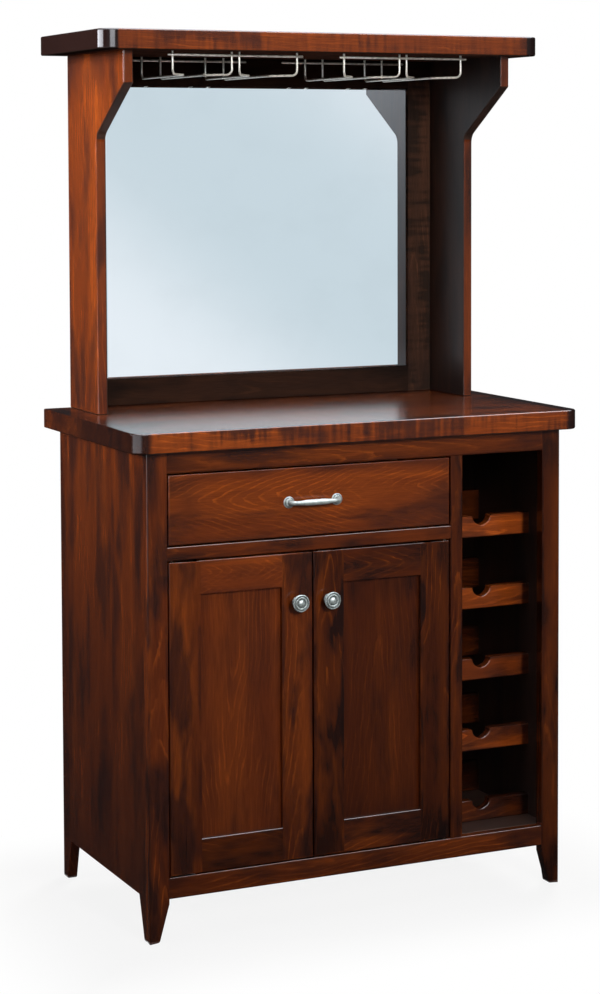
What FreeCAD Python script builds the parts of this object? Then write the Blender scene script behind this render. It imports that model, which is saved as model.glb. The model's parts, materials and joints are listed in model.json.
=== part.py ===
"""Wine cabinet with a drawer, two doors, a bottle bay and a mirrored hutch.

Millimetres. The origin is on the floor under the middle of the cabinet, the front faces -Y, +X is to
the right of someone who faces it, and +Z is up.
"""
import FreeCAD, Part
import math
import os

Vector = FreeCAD.Vector

# Counter slab
counter_width = 906.0
counter_depth = 482.0
counter_thickness = 36.5
counter_height = 914.4
counter_corner_radius = 28.0
counter_edge_round = 3.0
counter_overhang = 25.0

# Case boards
case_width = 843.0
side_thickness = 19.0
partition_thickness = 19.0
floor_thickness = 19.0
back_thickness = 6.0
back_rabbet = 10.0
back_edge_gap = 0.5
front_stretcher_depth = 80.0
rear_stretcher_depth = 40.0
stretcher_thickness = 19.0

# Face frame
frame_thickness = 19.0
frame_edge_round = 2.0
stile_width = 38.0
mullion_width = 26.0
wine_opening_width = 172.0
bottom_rail_height = 38.0
drawer_rail_height = 25.0
top_rail_height = 39.5
drawer_opening_height = 130.5
frame_tenon_length = 12.0
frame_tenon_thickness = 8.0
frame_tenon_shoulder = 5.0

# Legs, tapered on the sides that face each other
leg_height = 77.0
leg_taper_drop = 13.0
front_foot_width = 20.0
front_leg_depth = 33.0
front_foot_depth = 9.0
rear_leg_depth = 45.0
rear_foot_depth = 25.0

# Shelf in the door bay
shelf_thickness = 19.0
shelf_height = 285.0
shelf_front_gap = 26.0
shelf_end_gap = 1.5
shelf_back_gap = 2.0
shelf_pin_diameter = 5.0
shelf_pin_length = 17.0
shelf_pin_seat = 9.0
shelf_pin_inset = 40.0

# Bottle rails
bottle_rail_count = 5
bottle_rail_height = 41.0
bottle_rail_thickness = 19.0
bottle_rail_setback = 82.0
bottle_top_clearance = 130.5
neck_notch_radius = 19.0
neck_notch_depth = 18.0
notch_shoulder_round = 4.0
rear_rail_spacing = 196.0
rear_rail_rise = 19.0
body_notch_radius = 40.0
body_notch_depth = 38.0

# Doors
door_gap = 3.0
door_thickness = 20.0
door_stile_width = 60.5
door_rail_height = 61.0
door_edge_round = 1.5
door_groove_depth = 9.5
door_panel_recess = 8.5
door_panel_thickness = 6.4
door_panel_edge_gap = 0.5

# Pivot hinges in the top and bottom edges of the doors
pivot_from_edge = 8.0
pivot_from_front = 6.0
leaf_length = 41.0
leaf_width = 8.0
leaf_thickness = 2.4
pivot_pin_diameter = 4.0
pivot_pin_clearance = 0.08
pivot_pin_end_gap = 0.4
pivot_collar_diameter = 7.0
pivot_collar_gap = 0.4

# Door catches
catch_width = 30.0
catch_depth = 14.0
catch_height = 28.0
catch_from_middle = 36.0
strike_width = 26.0
strike_height = 16.0
strike_thickness = 1.2
strike_drop = 6.0
catch_gap = 0.4

# Knobs
knob_diameter = 31.75
knob_projection = 22.0
knob_drop = 89.5
knob_screw_seat = 8.0

# Bar pull
pull_spacing = 96.0
pull_projection = 18.0
pull_bar_diameter = 10.6
pull_bar_taper = 22.0
pull_neck_diameter = 8.0
pull_bend_radius = 12.0
rosette_diameter = 21.0
rosette_thickness = 2.6
rosette_step_diameter = 15.0
rosette_step_thickness = 2.4

# Drawer box
drawer_front_thickness = 20.0
drawer_edge_round = 2.0
drawer_side_thickness = 12.7
drawer_side_height = 90.0
drawer_side_lift = 10.0
drawer_back_drop = 5.0
drawer_bottom_thickness = 6.0
drawer_bottom_lift = 10.0
drawer_groove_depth = 6.0
drawer_bottom_edge_gap = 0.5
drawer_back_inset = 6.0
dovetail_length = 9.0
dovetail_neck = 6.0
dovetail_end = 9.0

# Drawer slides
slide_space = 12.7
slide_height = 45.0
slide_front_gap = 2.0
slide_rear_gap = 29.0
slide_sheet = 1.2
slide_race = 3.2
slide_running_gap = 0.3
slide_flange_reach = 10.5
spacer_height = 64.0

# Hutch sides
hutch_width = 799.0
hutch_height = 674.5
hutch_side_thickness = 19.2
hutch_lower_depth = 155.0
hutch_upper_depth = 301.0
bracket_drop = 59.7
bracket_rise = 93.8
bracket_round = 25.0
hutch_housing_depth = 6.0

# Hutch top slab
hutch_top_width = 904.0
hutch_top_depth = 333.0
hutch_top_thickness = 36.5
hutch_top_corner_radius = 28.0
hutch_top_edge_round = 3.0

# Mirror and its frame
mirror_frame_thickness = 16.0
mirror_stile_width = 51.7
mirror_bottom_rail_height = 52.3
mirror_top_rail_height = 54.8
mirror_lip_thickness = 5.0
mirror_rabbet = 8.0
mirror_edge_gap = 1.0
mirror_thickness = 5.0
mirror_tenon_length = 12.0
mirror_tenon_thickness = 6.0
mirror_tenon_shoulder = 5.0

# Stemware racks
rack_wire_diameter = 4.2
rack_center = 174.0
rack_channel_spacing = 132.6
rack_mouth_width = 117.5
rack_slot_width = 38.5
rack_drop = 42.0
rack_bar_drop = 7.0
rack_bar_overhang = 11.0
rack_bar_weld = 0.9
rack_flare_depth = 43.0
rack_front_setback = 44.0
rack_rear_gap = 17.0
rack_post_bend = 10.0
rack_flare_bend = 24.0
rack_post_seat = 12.0
rack_post_clearance = 0.1

# Screws
screw_diameter = 4.2
screw_head_diameter = 8.4
screw_head_thickness = 2.6
screw_hole_clearance = 0.15
counter_screw_bite = 18.0
counter_screw_places_share = (-0.8, 0.0, 0.8)
hutch_screw_bite = 40.0
hutch_screw_front_inset = 22.0
hutch_screw_rear_inset = 62.0

cut_overrun = 1.0
same_place = 0.001

# Levels and planes that several pieces share
floor = 0.0
back = counter_depth / 2
counter_front = -counter_depth / 2
front = counter_front + counter_overhang
frame_back = front + frame_thickness
panel_front = back - back_thickness
case_top = counter_height - counter_thickness
case_half = case_width / 2
inner_half = case_half - side_thickness
opening_left = stile_width - case_half
opening_right = case_half - stile_width
mullion_right = opening_right - wine_opening_width
mullion_left = mullion_right - mullion_width
rail_top = leg_height + bottom_rail_height
opening_top = case_top - top_rail_height
drawer_rail_top = opening_top - drawer_opening_height
door_opening_top = drawer_rail_top - drawer_rail_height
stretcher_bottom = case_top - stretcher_thickness
partition_right = mullion_left + partition_thickness
door_middle = (opening_left + mullion_left) / 2
door_back = front + door_thickness
door_bottom = rail_top + door_gap
door_top = door_opening_top - door_gap
hutch_half = hutch_width / 2
hutch_inner = hutch_half - hutch_side_thickness
hutch_under = counter_height + hutch_height
mirror_half = hutch_inner - mirror_stile_width
mirror_front = back - mirror_frame_thickness
mirror_bottom = counter_height + mirror_bottom_rail_height
mirror_top = hutch_under - mirror_top_rail_height
hutch_top_front = back - hutch_top_depth


# Shapes that many pieces use
def block(xs, ys, zs):
    """A square board that fills the three spans."""
    low = Vector(min(xs), min(ys), min(zs))
    size = Vector(max(xs), max(ys), max(zs)) - low
    return Part.makeBox(size.x, size.y, size.z, low)


def prism(corners, travel):
    """A straight-sided outline carried along one direction."""
    outline = Part.makePolygon(corners + corners[:1])
    return Part.Face(outline).extrude(travel)


def rod(start, along, length, diameter):
    """A round rod from a point along a direction."""
    return Part.makeCylinder(diameter / 2, length, start, along)


def round_edges(solid, radius, chosen):
    """Round the edges whose bounding boxes the test picks."""
    edges = [edge for edge in solid.Edges if chosen(edge.BoundBox)]
    return solid.makeFillet(radius, edges)


def at(value, place):
    """True where a coordinate lies at a place."""
    return abs(value - place) < same_place


def lies_at(low, high, place):
    """True where a span lies wholly at one place."""
    return at(low, place) and at(high, place)


def slab(width, depth, under, thickness, corner_radius, edge_round):
    """A thick top with round front corners, eased edges and a square back."""
    top = under + thickness
    half = width / 2
    nose = back - depth
    solid = block((-half, half), (nose, back), (under, top))
    def front_corner(box):
        return lies_at(box.YMin, box.YMax, nose) and not at(box.ZMin, box.ZMax)
    solid = round_edges(solid, corner_radius, front_corner)
    def eased(box):
        level = lies_at(box.ZMin, box.ZMax, top) or lies_at(box.ZMin, box.ZMax, under)
        return level and not lies_at(box.YMin, box.YMax, back)
    return round_edges(solid, edge_round, eased)


def frame_tenon(xs, ys_middle, zs, thickness):
    """A flat tenon on the middle plane of a frame."""
    return block(xs, (ys_middle - thickness / 2, ys_middle + thickness / 2), zs)


def bent_wire(points, bend_radii, diameter):
    """A round wire along straight runs that are joined by tangent arcs."""
    runs = []
    start = points[0]
    for before, corner, after, radius in zip(points, points[1:], points[2:], bend_radii):
        into = (corner - before).normalize()
        leaving = (after - corner).normalize()
        turn = into.getAngle(leaving)
        setback = radius * math.tan(turn / 2)
        inward = (leaving - into).normalize()
        centre = corner + inward * (radius / math.cos(turn / 2))
        arc_start = corner - into * setback
        arc_end = corner + leaving * setback
        runs.append(Part.LineSegment(start, arc_start).toShape())
        runs.append(Part.Arc(arc_start, centre - inward * radius, arc_end).toShape())
        start = arc_end
    runs.append(Part.LineSegment(start, points[-1]).toShape())
    section = Part.Wire([Part.makeCircle(diameter / 2, points[0], points[1] - points[0])])
    return Part.Wire(runs).makePipeShell([section], True, False)


def screw(seat, along, length):
    """A pan-head screw whose head lies against the seat point."""
    shank = rod(seat, along, length, screw_diameter)
    head = rod(seat - along * screw_head_thickness, along, screw_head_thickness, screw_head_diameter)
    return shank.fuse(head).removeSplitter()


def screw_hole(seat, along, length):
    """The clearance hole that a screw passes through."""
    return rod(seat, along, length, screw_diameter + 2 * screw_hole_clearance)


def revolved(runs, origin, outward, sideways):
    """A round turning: each run is a line or an arc of (radius, height) points about an axis."""
    def place(point):
        return origin + sideways * point[0] + outward * point[1]
    edges = []
    for run in runs:
        spots = [place(point) for point in run]
        if len(spots) == 3:
            edges.append(Part.Arc(*spots).toShape())
        else:
            edges.append(Part.LineSegment(*spots).toShape())
    return Part.Face(Part.Wire(edges)).revolve(origin, outward, 360)


# Case
def side_panel(side):
    """A side board whose bottom is cut away between a front and a rear leg."""
    outer = side * case_half
    inner = side * inner_half
    outline = [
        (frame_back, floor), (frame_back + front_foot_depth, floor),
        (frame_back + front_leg_depth, leg_height), (back - rear_leg_depth, leg_height),
        (back - rear_foot_depth, floor), (back, floor), (back, case_top), (frame_back, case_top),
    ]
    corners = [Vector(outer, y, z) for y, z in outline]
    panel = prism(corners, Vector(inner - outer, 0, 0))
    rabbet_xs = (inner - side * cut_overrun, inner + side * back_rabbet)
    rabbet = block(rabbet_xs, (panel_front, back + cut_overrun), (leg_height, case_top + cut_overrun))
    return panel.cut(rabbet)


def face_stile(side, tenons):
    """A face-frame stile that runs down into a leg tapered on its inner edge."""
    outer = side * case_half
    inner = outer - side * stile_width
    foot = outer - side * front_foot_width
    outline = [
        (outer, floor), (foot, floor), (inner, leg_height - leg_taper_drop),
        (inner, case_top), (outer, case_top),
    ]
    corners = [Vector(x, front, z) for x, z in outline]
    stile = prism(corners, Vector(0, frame_thickness, 0))
    stile = round_edges(stile, frame_edge_round, lambda box: lies_at(box.XMin, box.XMax, outer)
                        and lies_at(box.YMin, box.YMax, front))
    return stile.cut(tenons)


frame_middle = front + frame_thickness / 2


def rail_tenons(xs, zs, ends):
    """The tenons on the chosen ends of a face-frame rail."""
    inner = (zs[0] + frame_tenon_shoulder, zs[1] - frame_tenon_shoulder)
    reaches = {"left": (xs[0] - frame_tenon_length, xs[0]), "right": (xs[1], xs[1] + frame_tenon_length)}
    return [frame_tenon(reaches[end], frame_middle, inner, frame_tenon_thickness) for end in ends]


parts = {}

top_rail_span = (opening_left, opening_right)
drawer_rail_span = (opening_left, mullion_left)
top_rail_levels = (opening_top, case_top)
drawer_rail_levels = (door_opening_top, drawer_rail_top)
bottom_rail_levels = (leg_height, rail_top)
top_tenons = rail_tenons(top_rail_span, top_rail_levels, ("left", "right"))
bottom_tenons = rail_tenons(top_rail_span, bottom_rail_levels, ("left", "right"))
drawer_tenons = rail_tenons(drawer_rail_span, drawer_rail_levels, ("left", "right"))
mullion_inner = (mullion_left + frame_tenon_shoulder, mullion_right - frame_tenon_shoulder)
mullion_tenon_levels = (
    (rail_top - frame_tenon_length, rail_top), (opening_top, opening_top + frame_tenon_length),
)
mullion_tenons = [
    frame_tenon(mullion_inner, frame_middle, levels, frame_tenon_thickness) for levels in mullion_tenon_levels
]

# Pivot hinges: one leaf in the rail and one in the door edge, at the top and bottom of each door
pivot_y = front + pivot_from_front
door_pivots = {
    "left": opening_left + door_gap + pivot_from_edge,
    "right": mullion_left - door_gap - pivot_from_edge,
}
door_sides = {"left": 1, "right": -1}


def hinge_leaf(pivot_x, toward, under):
    """A flat leaf with one round end about the pivot."""
    plate_ys = (pivot_y - leaf_width / 2, pivot_y + leaf_width / 2)
    plate = block((pivot_x, pivot_x + toward * leaf_length), plate_ys, (under, under + leaf_thickness))
    boss = rod(Vector(pivot_x, pivot_y, under), Vector(0, 0, 1), leaf_thickness, leaf_width)
    return plate.fuse(boss).removeSplitter()


def frame_leaf(name, rail_face, upward):
    """A leaf let into a rail, with the pin and collar that stand out of it towards the door."""
    pivot_x = door_pivots[name]
    under = rail_face if upward < 0 else rail_face - leaf_thickness
    leaf = hinge_leaf(pivot_x, door_sides[name], under)
    seat = Vector(pivot_x, pivot_y, rail_face)
    out = Vector(0, 0, upward)
    pin = rod(seat, out, door_gap + leaf_thickness - pivot_pin_end_gap, pivot_pin_diameter)
    collar = rod(seat, out, door_gap - pivot_collar_gap, pivot_collar_diameter)
    return leaf, leaf.fuse([pin, collar]).removeSplitter()


frame_leaves = []
top_leaf_seats = []
bottom_leaf_seats = []
for door_name in door_pivots:
    seat_shape, leaf_shape = frame_leaf(door_name, door_opening_top, -1)
    top_leaf_seats.append(seat_shape)
    frame_leaves.append(leaf_shape)
    seat_shape, leaf_shape = frame_leaf(door_name, rail_top, 1)
    bottom_leaf_seats.append(seat_shape)
    frame_leaves.append(leaf_shape)
parts["hinge_frame_leaves"] = frame_leaves

# Face frame members
frame_depth = (front, frame_back)
parts["left_face_stile"] = [face_stile(-1, top_tenons[:1] + bottom_tenons[:1] + drawer_tenons[:1])]
parts["right_face_stile"] = [face_stile(1, top_tenons[1:] + bottom_tenons[1:])]
face_top_rail = block(top_rail_span, frame_depth, top_rail_levels).fuse(top_tenons).removeSplitter()
parts["face_top_rail"] = [face_top_rail.cut(mullion_tenons[1])]
face_bottom_rail = block(top_rail_span, frame_depth, bottom_rail_levels).fuse(bottom_tenons).removeSplitter()
parts["face_bottom_rail"] = [face_bottom_rail.cut([mullion_tenons[0]] + bottom_leaf_seats)]
face_drawer_rail = block(drawer_rail_span, frame_depth, drawer_rail_levels).fuse(drawer_tenons)
parts["face_drawer_rail"] = [face_drawer_rail.removeSplitter().cut(top_leaf_seats)]
face_mullion = block((mullion_left, mullion_right), frame_depth, (rail_top, opening_top))
parts["face_mullion"] = [face_mullion.fuse(mullion_tenons).removeSplitter().cut(drawer_tenons[1])]

# Inner boards of the case
inside = (-inner_half, inner_half)
parts["case_floor"] = [block(inside, (frame_back, panel_front), (rail_top - floor_thickness, rail_top))]
back_half = inner_half + back_rabbet - back_edge_gap
parts["case_back_panel"] = [block((-back_half, back_half), (panel_front, back), (leg_height, case_top))]

# Screws up through the stretchers into the counter, and through the counter into the hutch sides
up = Vector(0, 0, 1)
stretcher_middles = (frame_back + front_stretcher_depth / 2, panel_front - rear_stretcher_depth / 2)
counter_screw_length = stretcher_thickness + counter_screw_bite
counter_screw_seats = [
    Vector(share * inner_half, y, stretcher_bottom)
    for y in stretcher_middles for share in counter_screw_places_share
]
hutch_screw_length = counter_thickness + hutch_screw_bite
hutch_side_front = back - hutch_lower_depth
hutch_screw_seats = [
    Vector(side * (hutch_half - hutch_side_thickness / 2), y, case_top)
    for side in (-1, 1) for y in (hutch_side_front + hutch_screw_front_inset, back - hutch_screw_rear_inset)
]
case_screws = [screw(seat, up, counter_screw_length) for seat in counter_screw_seats]
case_screws += [screw(seat, up, hutch_screw_length) for seat in hutch_screw_seats]
parts["case_screws"] = case_screws
counter_holes = [screw_hole(seat, up, counter_screw_length) for seat in counter_screw_seats]
hutch_holes = [screw_hole(seat, up, hutch_screw_length) for seat in hutch_screw_seats]

front_stretcher_ys = (frame_back, frame_back + front_stretcher_depth)
front_stretcher = block(inside, front_stretcher_ys, (stretcher_bottom, case_top))
rear_stretcher_ys = (panel_front - rear_stretcher_depth, panel_front)
rear_stretcher = block(inside, rear_stretcher_ys, (stretcher_bottom, case_top))
parts["top_stretchers"] = [front_stretcher.cut(counter_holes), rear_stretcher.cut(counter_holes)]
drawer_stretcher_bottom = drawer_rail_top - stretcher_thickness
parts["drawer_stretcher"] = [
    block((-inner_half, mullion_left), front_stretcher_ys, (drawer_stretcher_bottom, drawer_rail_top))
]

counter = slab(counter_width, counter_depth, case_top, counter_thickness, counter_corner_radius,
               counter_edge_round)
parts["counter_top"] = [counter.cut(counter_holes + hutch_holes)]

# Shelf on four pins
shelf_under = rail_top + shelf_height
shelf_front = door_back + shelf_front_gap
shelf_back = panel_front - shelf_back_gap
shelf_ends = (-inner_half + shelf_end_gap, mullion_left - shelf_end_gap)
parts["shelf"] = [block(shelf_ends, (shelf_front, shelf_back), (shelf_under, shelf_under + shelf_thickness))]
pin_level = shelf_under - shelf_pin_diameter / 2
pins = []
for y in (shelf_front + shelf_pin_inset, shelf_back - shelf_pin_inset):
    left_seat = Vector(-inner_half - shelf_pin_seat, y, pin_level)
    right_seat = Vector(mullion_left + shelf_pin_seat, y, pin_level)
    pins.append(rod(left_seat, Vector(1, 0, 0), shelf_pin_length, shelf_pin_diameter))
    pins.append(rod(right_seat, Vector(-1, 0, 0), shelf_pin_length, shelf_pin_diameter))
parts["shelf_pins"] = pins
parts["left_side_panel"] = [side_panel(-1).cut(pins)]
parts["right_side_panel"] = [side_panel(1)]
partition = block((mullion_left, partition_right), (frame_back, panel_front), (rail_top, stretcher_bottom))
parts["case_partition"] = [partition.cut(pins)]


# Bottle rails
def bottle_rail(nose, under, height, notch_radius, notch_depth):
    """A rail across the bottle bay with a round-shouldered scallop in its top edge."""
    top = under + height
    tail = nose + bottle_rail_thickness
    middle = (mullion_right + opening_right) / 2
    rail = block((partition_right, inner_half), (nose, tail), (under, top))
    scallop_seat = Vector(middle, nose - cut_overrun, top + notch_radius - notch_depth)
    scallop_length = bottle_rail_thickness + 2 * cut_overrun
    rail = rail.cut(rod(scallop_seat, Vector(0, 1, 0), scallop_length, 2 * notch_radius))
    def shoulder(box):
        beside_wall = at(box.XMin, partition_right) or at(box.XMax, inner_half)
        return lies_at(box.ZMin, box.ZMax, top) and lies_at(box.XMin, box.XMax, box.XMin) and not beside_wall
    return round_edges(rail, notch_shoulder_round, shoulder)


front_rail_nose = front + bottle_rail_setback
rear_rail_nose = front_rail_nose + rear_rail_spacing
highest_rail = opening_top - bottle_top_clearance - bottle_rail_height
bottle_pitch = (highest_rail - rail_top) / (bottle_rail_count - 1)
rear_rails = []
for place in range(bottle_rail_count):
    level = rail_top + place * bottle_pitch
    front_rail = bottle_rail(front_rail_nose, level, bottle_rail_height, neck_notch_radius, neck_notch_depth)
    parts["front_bottle_rail_%d" % (place + 1)] = [front_rail]
    rear_height = bottle_rail_height + rear_rail_rise
    rear_rails.append(bottle_rail(rear_rail_nose, level, rear_height, body_notch_radius, body_notch_depth))
parts["rear_bottle_rails"] = rear_rails


# Doors
knob_level = door_top - knob_drop
outward = Vector(0, -1, 0)
knob_radius = knob_diameter / 2
knob_profile_shares = [
    ((0.0, 0.0), (0.64, 0.0)),
    ((0.64, 0.0), (0.64, 0.06)),
    ((0.64, 0.06), (0.60, 0.13), (0.50, 0.15)),
    ((0.50, 0.15), (0.34, 0.36), (0.52, 0.58)),
    ((0.52, 0.58), (0.92, 0.68)),
    ((0.92, 0.68), (1.0, 0.78), (0.90, 0.88)),
    ((0.90, 0.88), (0.83, 0.82), (0.74, 0.83)),
    ((0.74, 0.83), (0.65, 0.89), (0.56, 0.84)),
    ((0.56, 0.84), (0.48, 0.79), (0.40, 0.83)),
]


def knob(center_x):
    """A turned knob: stepped base, waisted stem and a ringed face with a domed middle."""
    runs = [[(r * knob_radius, h * knob_projection) for r, h in run] for run in knob_profile_shares]
    dome_radius, dome_foot = runs[-1][-1]
    dome_rise = knob_projection - dome_foot
    ball_radius = (dome_radius ** 2 + dome_rise ** 2) / (2 * dome_rise)
    ball_level = knob_projection - ball_radius
    half_angle = math.atan2(dome_radius, dome_foot - ball_level) / 2
    crown = (ball_radius * math.sin(half_angle), ball_level + ball_radius * math.cos(half_angle))
    runs.append([(dome_radius, dome_foot), crown, (0, knob_projection)])
    runs.append([(0, knob_projection), (0, 0)])
    return revolved(runs, Vector(center_x, front, knob_level), outward, Vector(1, 0, 0))


def door_stile(edges, outer, groove):
    """A door stile with its outer edges eased and a groove along its inner edge."""
    stile = block(edges, (front, door_back), (door_bottom, door_top))
    def eased(box):
        on_face = lies_at(box.YMin, box.YMax, front)
        at_end = lies_at(box.ZMin, box.ZMax, door_bottom) or lies_at(box.ZMin, box.ZMax, door_top)
        return on_face and (at_end or lies_at(box.XMin, box.XMax, outer))
    return round_edges(stile, door_edge_round, eased).cut(groove)


def door_rail(xs, zs, outer_level, tenon, groove):
    """A door rail with a stub tenon on each end and a groove along its inner edge."""
    rail = block(xs, (front, door_back), zs)
    rail = round_edges(rail, door_edge_round, lambda box: lies_at(box.YMin, box.YMax, front)
                       and lies_at(box.ZMin, box.ZMax, outer_level))
    return rail.cut(groove).fuse(tenon).removeSplitter()


def make_door(name):
    """The pieces of one framed door, hinged at its outer edge."""
    toward = door_sides[name]
    pivot_x = door_pivots[name]
    hinge_edge = pivot_x - toward * pivot_from_edge
    lock_edge = door_middle - toward * door_gap / 2
    hinge_inner = hinge_edge + toward * door_stile_width
    lock_inner = lock_edge - toward * door_stile_width
    low_inner = door_bottom + door_rail_height
    high_inner = door_top - door_rail_height
    groove_ys = (front + door_panel_recess, front + door_panel_recess + door_panel_thickness)
    groove_xs = (hinge_inner - toward * door_groove_depth, lock_inner + toward * door_groove_depth)
    tall = (door_bottom - cut_overrun, door_top + cut_overrun)
    stile_groove = block(groove_xs, groove_ys, tall)
    low_tenon = block(groove_xs, groove_ys, (door_bottom + door_edge_round, low_inner - door_groove_depth))
    high_tenon = block(groove_xs, groove_ys, (high_inner + door_groove_depth, door_top - door_edge_round))
    rail_groove = block((hinge_inner, lock_inner), groove_ys,
                        (low_inner - door_groove_depth, high_inner + door_groove_depth))
    slack = toward * door_panel_edge_gap
    panel = block((groove_xs[0] + slack, groove_xs[1] - slack), groove_ys,
                  (low_inner - door_groove_depth + door_panel_edge_gap,
                   high_inner + door_groove_depth - door_panel_edge_gap))
    leaf_seats = [hinge_leaf(pivot_x, toward, level) for level in (door_bottom, door_top - leaf_thickness)]
    pin_hole = rod(Vector(pivot_x, pivot_y, door_bottom), up, door_top - door_bottom,
                   pivot_pin_diameter + 2 * pivot_pin_clearance)
    knob_x = lock_edge - toward * door_stile_width / 2
    knob_screw_length = door_thickness + knob_screw_seat
    knob_seat = Vector(knob_x, door_back, knob_level)
    knob_hole = screw_hole(knob_seat, outward, knob_screw_length)
    strike_x = door_middle - toward * catch_from_middle
    strike = block((strike_x - strike_width / 2, strike_x + strike_width / 2),
                   (door_back, door_back + strike_thickness),
                   (door_top - strike_drop - strike_height, door_top - strike_drop))
    hinge_stile = door_stile((hinge_edge, hinge_inner), hinge_edge, stile_groove)
    parts[name + "_door_hinge_stile"] = [hinge_stile.cut(leaf_seats)]
    lock_stile = door_stile((lock_inner, lock_edge), lock_edge, stile_groove)
    parts[name + "_door_lock_stile"] = [lock_stile.cut(knob_hole)]
    inner_span = (hinge_inner, lock_inner)
    parts[name + "_door_bottom_rail"] = [
        door_rail(inner_span, (door_bottom, low_inner), door_bottom, low_tenon, rail_groove)
    ]
    parts[name + "_door_top_rail"] = [
        door_rail(inner_span, (high_inner, door_top), door_top, high_tenon, rail_groove)
    ]
    parts[name + "_door_panel"] = [panel]
    knob_screw = screw(knob_seat, outward, knob_screw_length)
    parts[name + "_door_knob"] = [knob(knob_x).cut(knob_hole), knob_screw]
    parts[name + "_door_hinge_leaves"] = [leaf.cut(pin_hole) for leaf in leaf_seats] + [strike]


make_door("left")
make_door("right")

# Catches under the drawer stretcher, just behind the strike plates
catch_front = door_back + strike_thickness + catch_gap
catches = []
for side in (-1, 1):
    catch_x = door_middle + side * catch_from_middle
    catch_xs = (catch_x - catch_width / 2, catch_x + catch_width / 2)
    catches.append(block(catch_xs, (catch_front, catch_front + catch_depth),
                         (drawer_stretcher_bottom - catch_height, drawer_stretcher_bottom)))
parts["door_catches"] = catches

# Drawer slides
drawer_level = drawer_rail_top + door_gap + drawer_side_lift
slide_level = drawer_level + drawer_side_height / 2
slide_front = front + drawer_front_thickness + slide_front_gap
slide_back = panel_front - slide_rear_gap
slide_walls = ((opening_left, 1), (mullion_left, -1))


def slide_channel(wall, toward, web, flange, half_height, thickness):
    """A channel that runs front to back: an upright web and two flanges, placed from the wall inwards."""
    ys = (slide_front, slide_back)
    def span(reach):
        return (wall + toward * reach[0], wall + toward * reach[1])
    channel = block(span(web), ys, (slide_level - half_height, slide_level + half_height))
    flanges = []
    for sign in (-1, 1):
        inner_face = slide_level + sign * (half_height - thickness)
        flanges.append(block(span(flange), ys, (inner_face, slide_level + sign * half_height)))
    return channel.fuse(flanges).removeSplitter()


outer_half = slide_height / 2
middle_half = outer_half - slide_sheet - slide_running_gap
inner_slide_half = middle_half - slide_race - slide_running_gap
middle_web_start = slide_sheet + slide_running_gap
middle_web_end = middle_web_start + slide_sheet
inner_web = (slide_space - slide_sheet, slide_space)
outers = []
middles = []
inners = []
for wall, toward in slide_walls:
    outers.append(slide_channel(wall, toward, (0, slide_sheet), (0, slide_flange_reach),
                                outer_half, slide_sheet))
    middles.append(slide_channel(wall, toward, (middle_web_start, middle_web_end),
                                 (middle_web_start, slide_flange_reach), middle_half, slide_race))
    inners.append(slide_channel(wall, toward, inner_web, (middle_web_end + slide_running_gap, slide_space),
                                inner_slide_half, slide_sheet))
parts["slide_outer_members"] = outers
parts["slide_middle_members"] = middles
parts["slide_inner_members"] = inners
parts["slide_spacer"] = [
    block((-inner_half, opening_left), (frame_back, panel_front),
          (slide_level - spacer_height / 2, slide_level + spacer_height / 2))
]

# Drawer box, its sides held in the front by sliding dovetails
drawer_left = opening_left + slide_space
drawer_right = mullion_left - slide_space
drawer_top = drawer_level + drawer_side_height
drawer_front_back = front + drawer_front_thickness
front_bottom = drawer_rail_top + door_gap
front_top = opening_top - door_gap
drawer_bottom_level = drawer_level + drawer_bottom_lift
bottom_levels = (drawer_bottom_level, drawer_bottom_level + drawer_bottom_thickness)
back_levels = (bottom_levels[1], drawer_top - drawer_back_drop)
drawer_back_ys = (slide_back - drawer_back_inset - drawer_side_thickness, slide_back - drawer_back_inset)
bottom_xs = (drawer_left + drawer_side_thickness - drawer_groove_depth,
             drawer_right - drawer_side_thickness + drawer_groove_depth)
bottom_groove_front = drawer_front_back - drawer_groove_depth
bottom_groove = block(bottom_xs, (bottom_groove_front, slide_back + cut_overrun), bottom_levels)
back_dado = block(bottom_xs, drawer_back_ys, (back_levels[0], drawer_top + cut_overrun))


def dovetail(outer, toward, low, high):
    """An upright tongue, wider at its far end, on the front end of a drawer side."""
    middle = outer + toward * drawer_side_thickness / 2
    outline = [
        (middle - dovetail_neck / 2, drawer_front_back), (middle + dovetail_neck / 2, drawer_front_back),
        (middle + dovetail_end / 2, drawer_front_back - dovetail_length),
        (middle - dovetail_end / 2, drawer_front_back - dovetail_length),
    ]
    return prism([Vector(x, y, low) for x, y in outline], Vector(0, 0, high - low))


sides = {"left": (drawer_left, 1), "right": (drawer_right, -1)}
dovetail_sockets = []
for side_name, (outer, toward) in sides.items():
    board = block((outer, outer + toward * drawer_side_thickness), (drawer_front_back, slide_back),
                  (drawer_level, drawer_top))
    board = board.fuse(dovetail(outer, toward, drawer_level, drawer_top)).removeSplitter()
    parts["drawer_%s_side" % side_name] = [board.cut([bottom_groove, back_dado])]
    dovetail_sockets.append(dovetail(outer, toward, front_bottom - cut_overrun, drawer_top))
parts["drawer_back"] = [block(bottom_xs, drawer_back_ys, back_levels)]
parts["drawer_bottom"] = [
    block((bottom_xs[0] + drawer_bottom_edge_gap, bottom_xs[1] - drawer_bottom_edge_gap),
          (bottom_groove_front + drawer_bottom_edge_gap, slide_back), bottom_levels)
]

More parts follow.
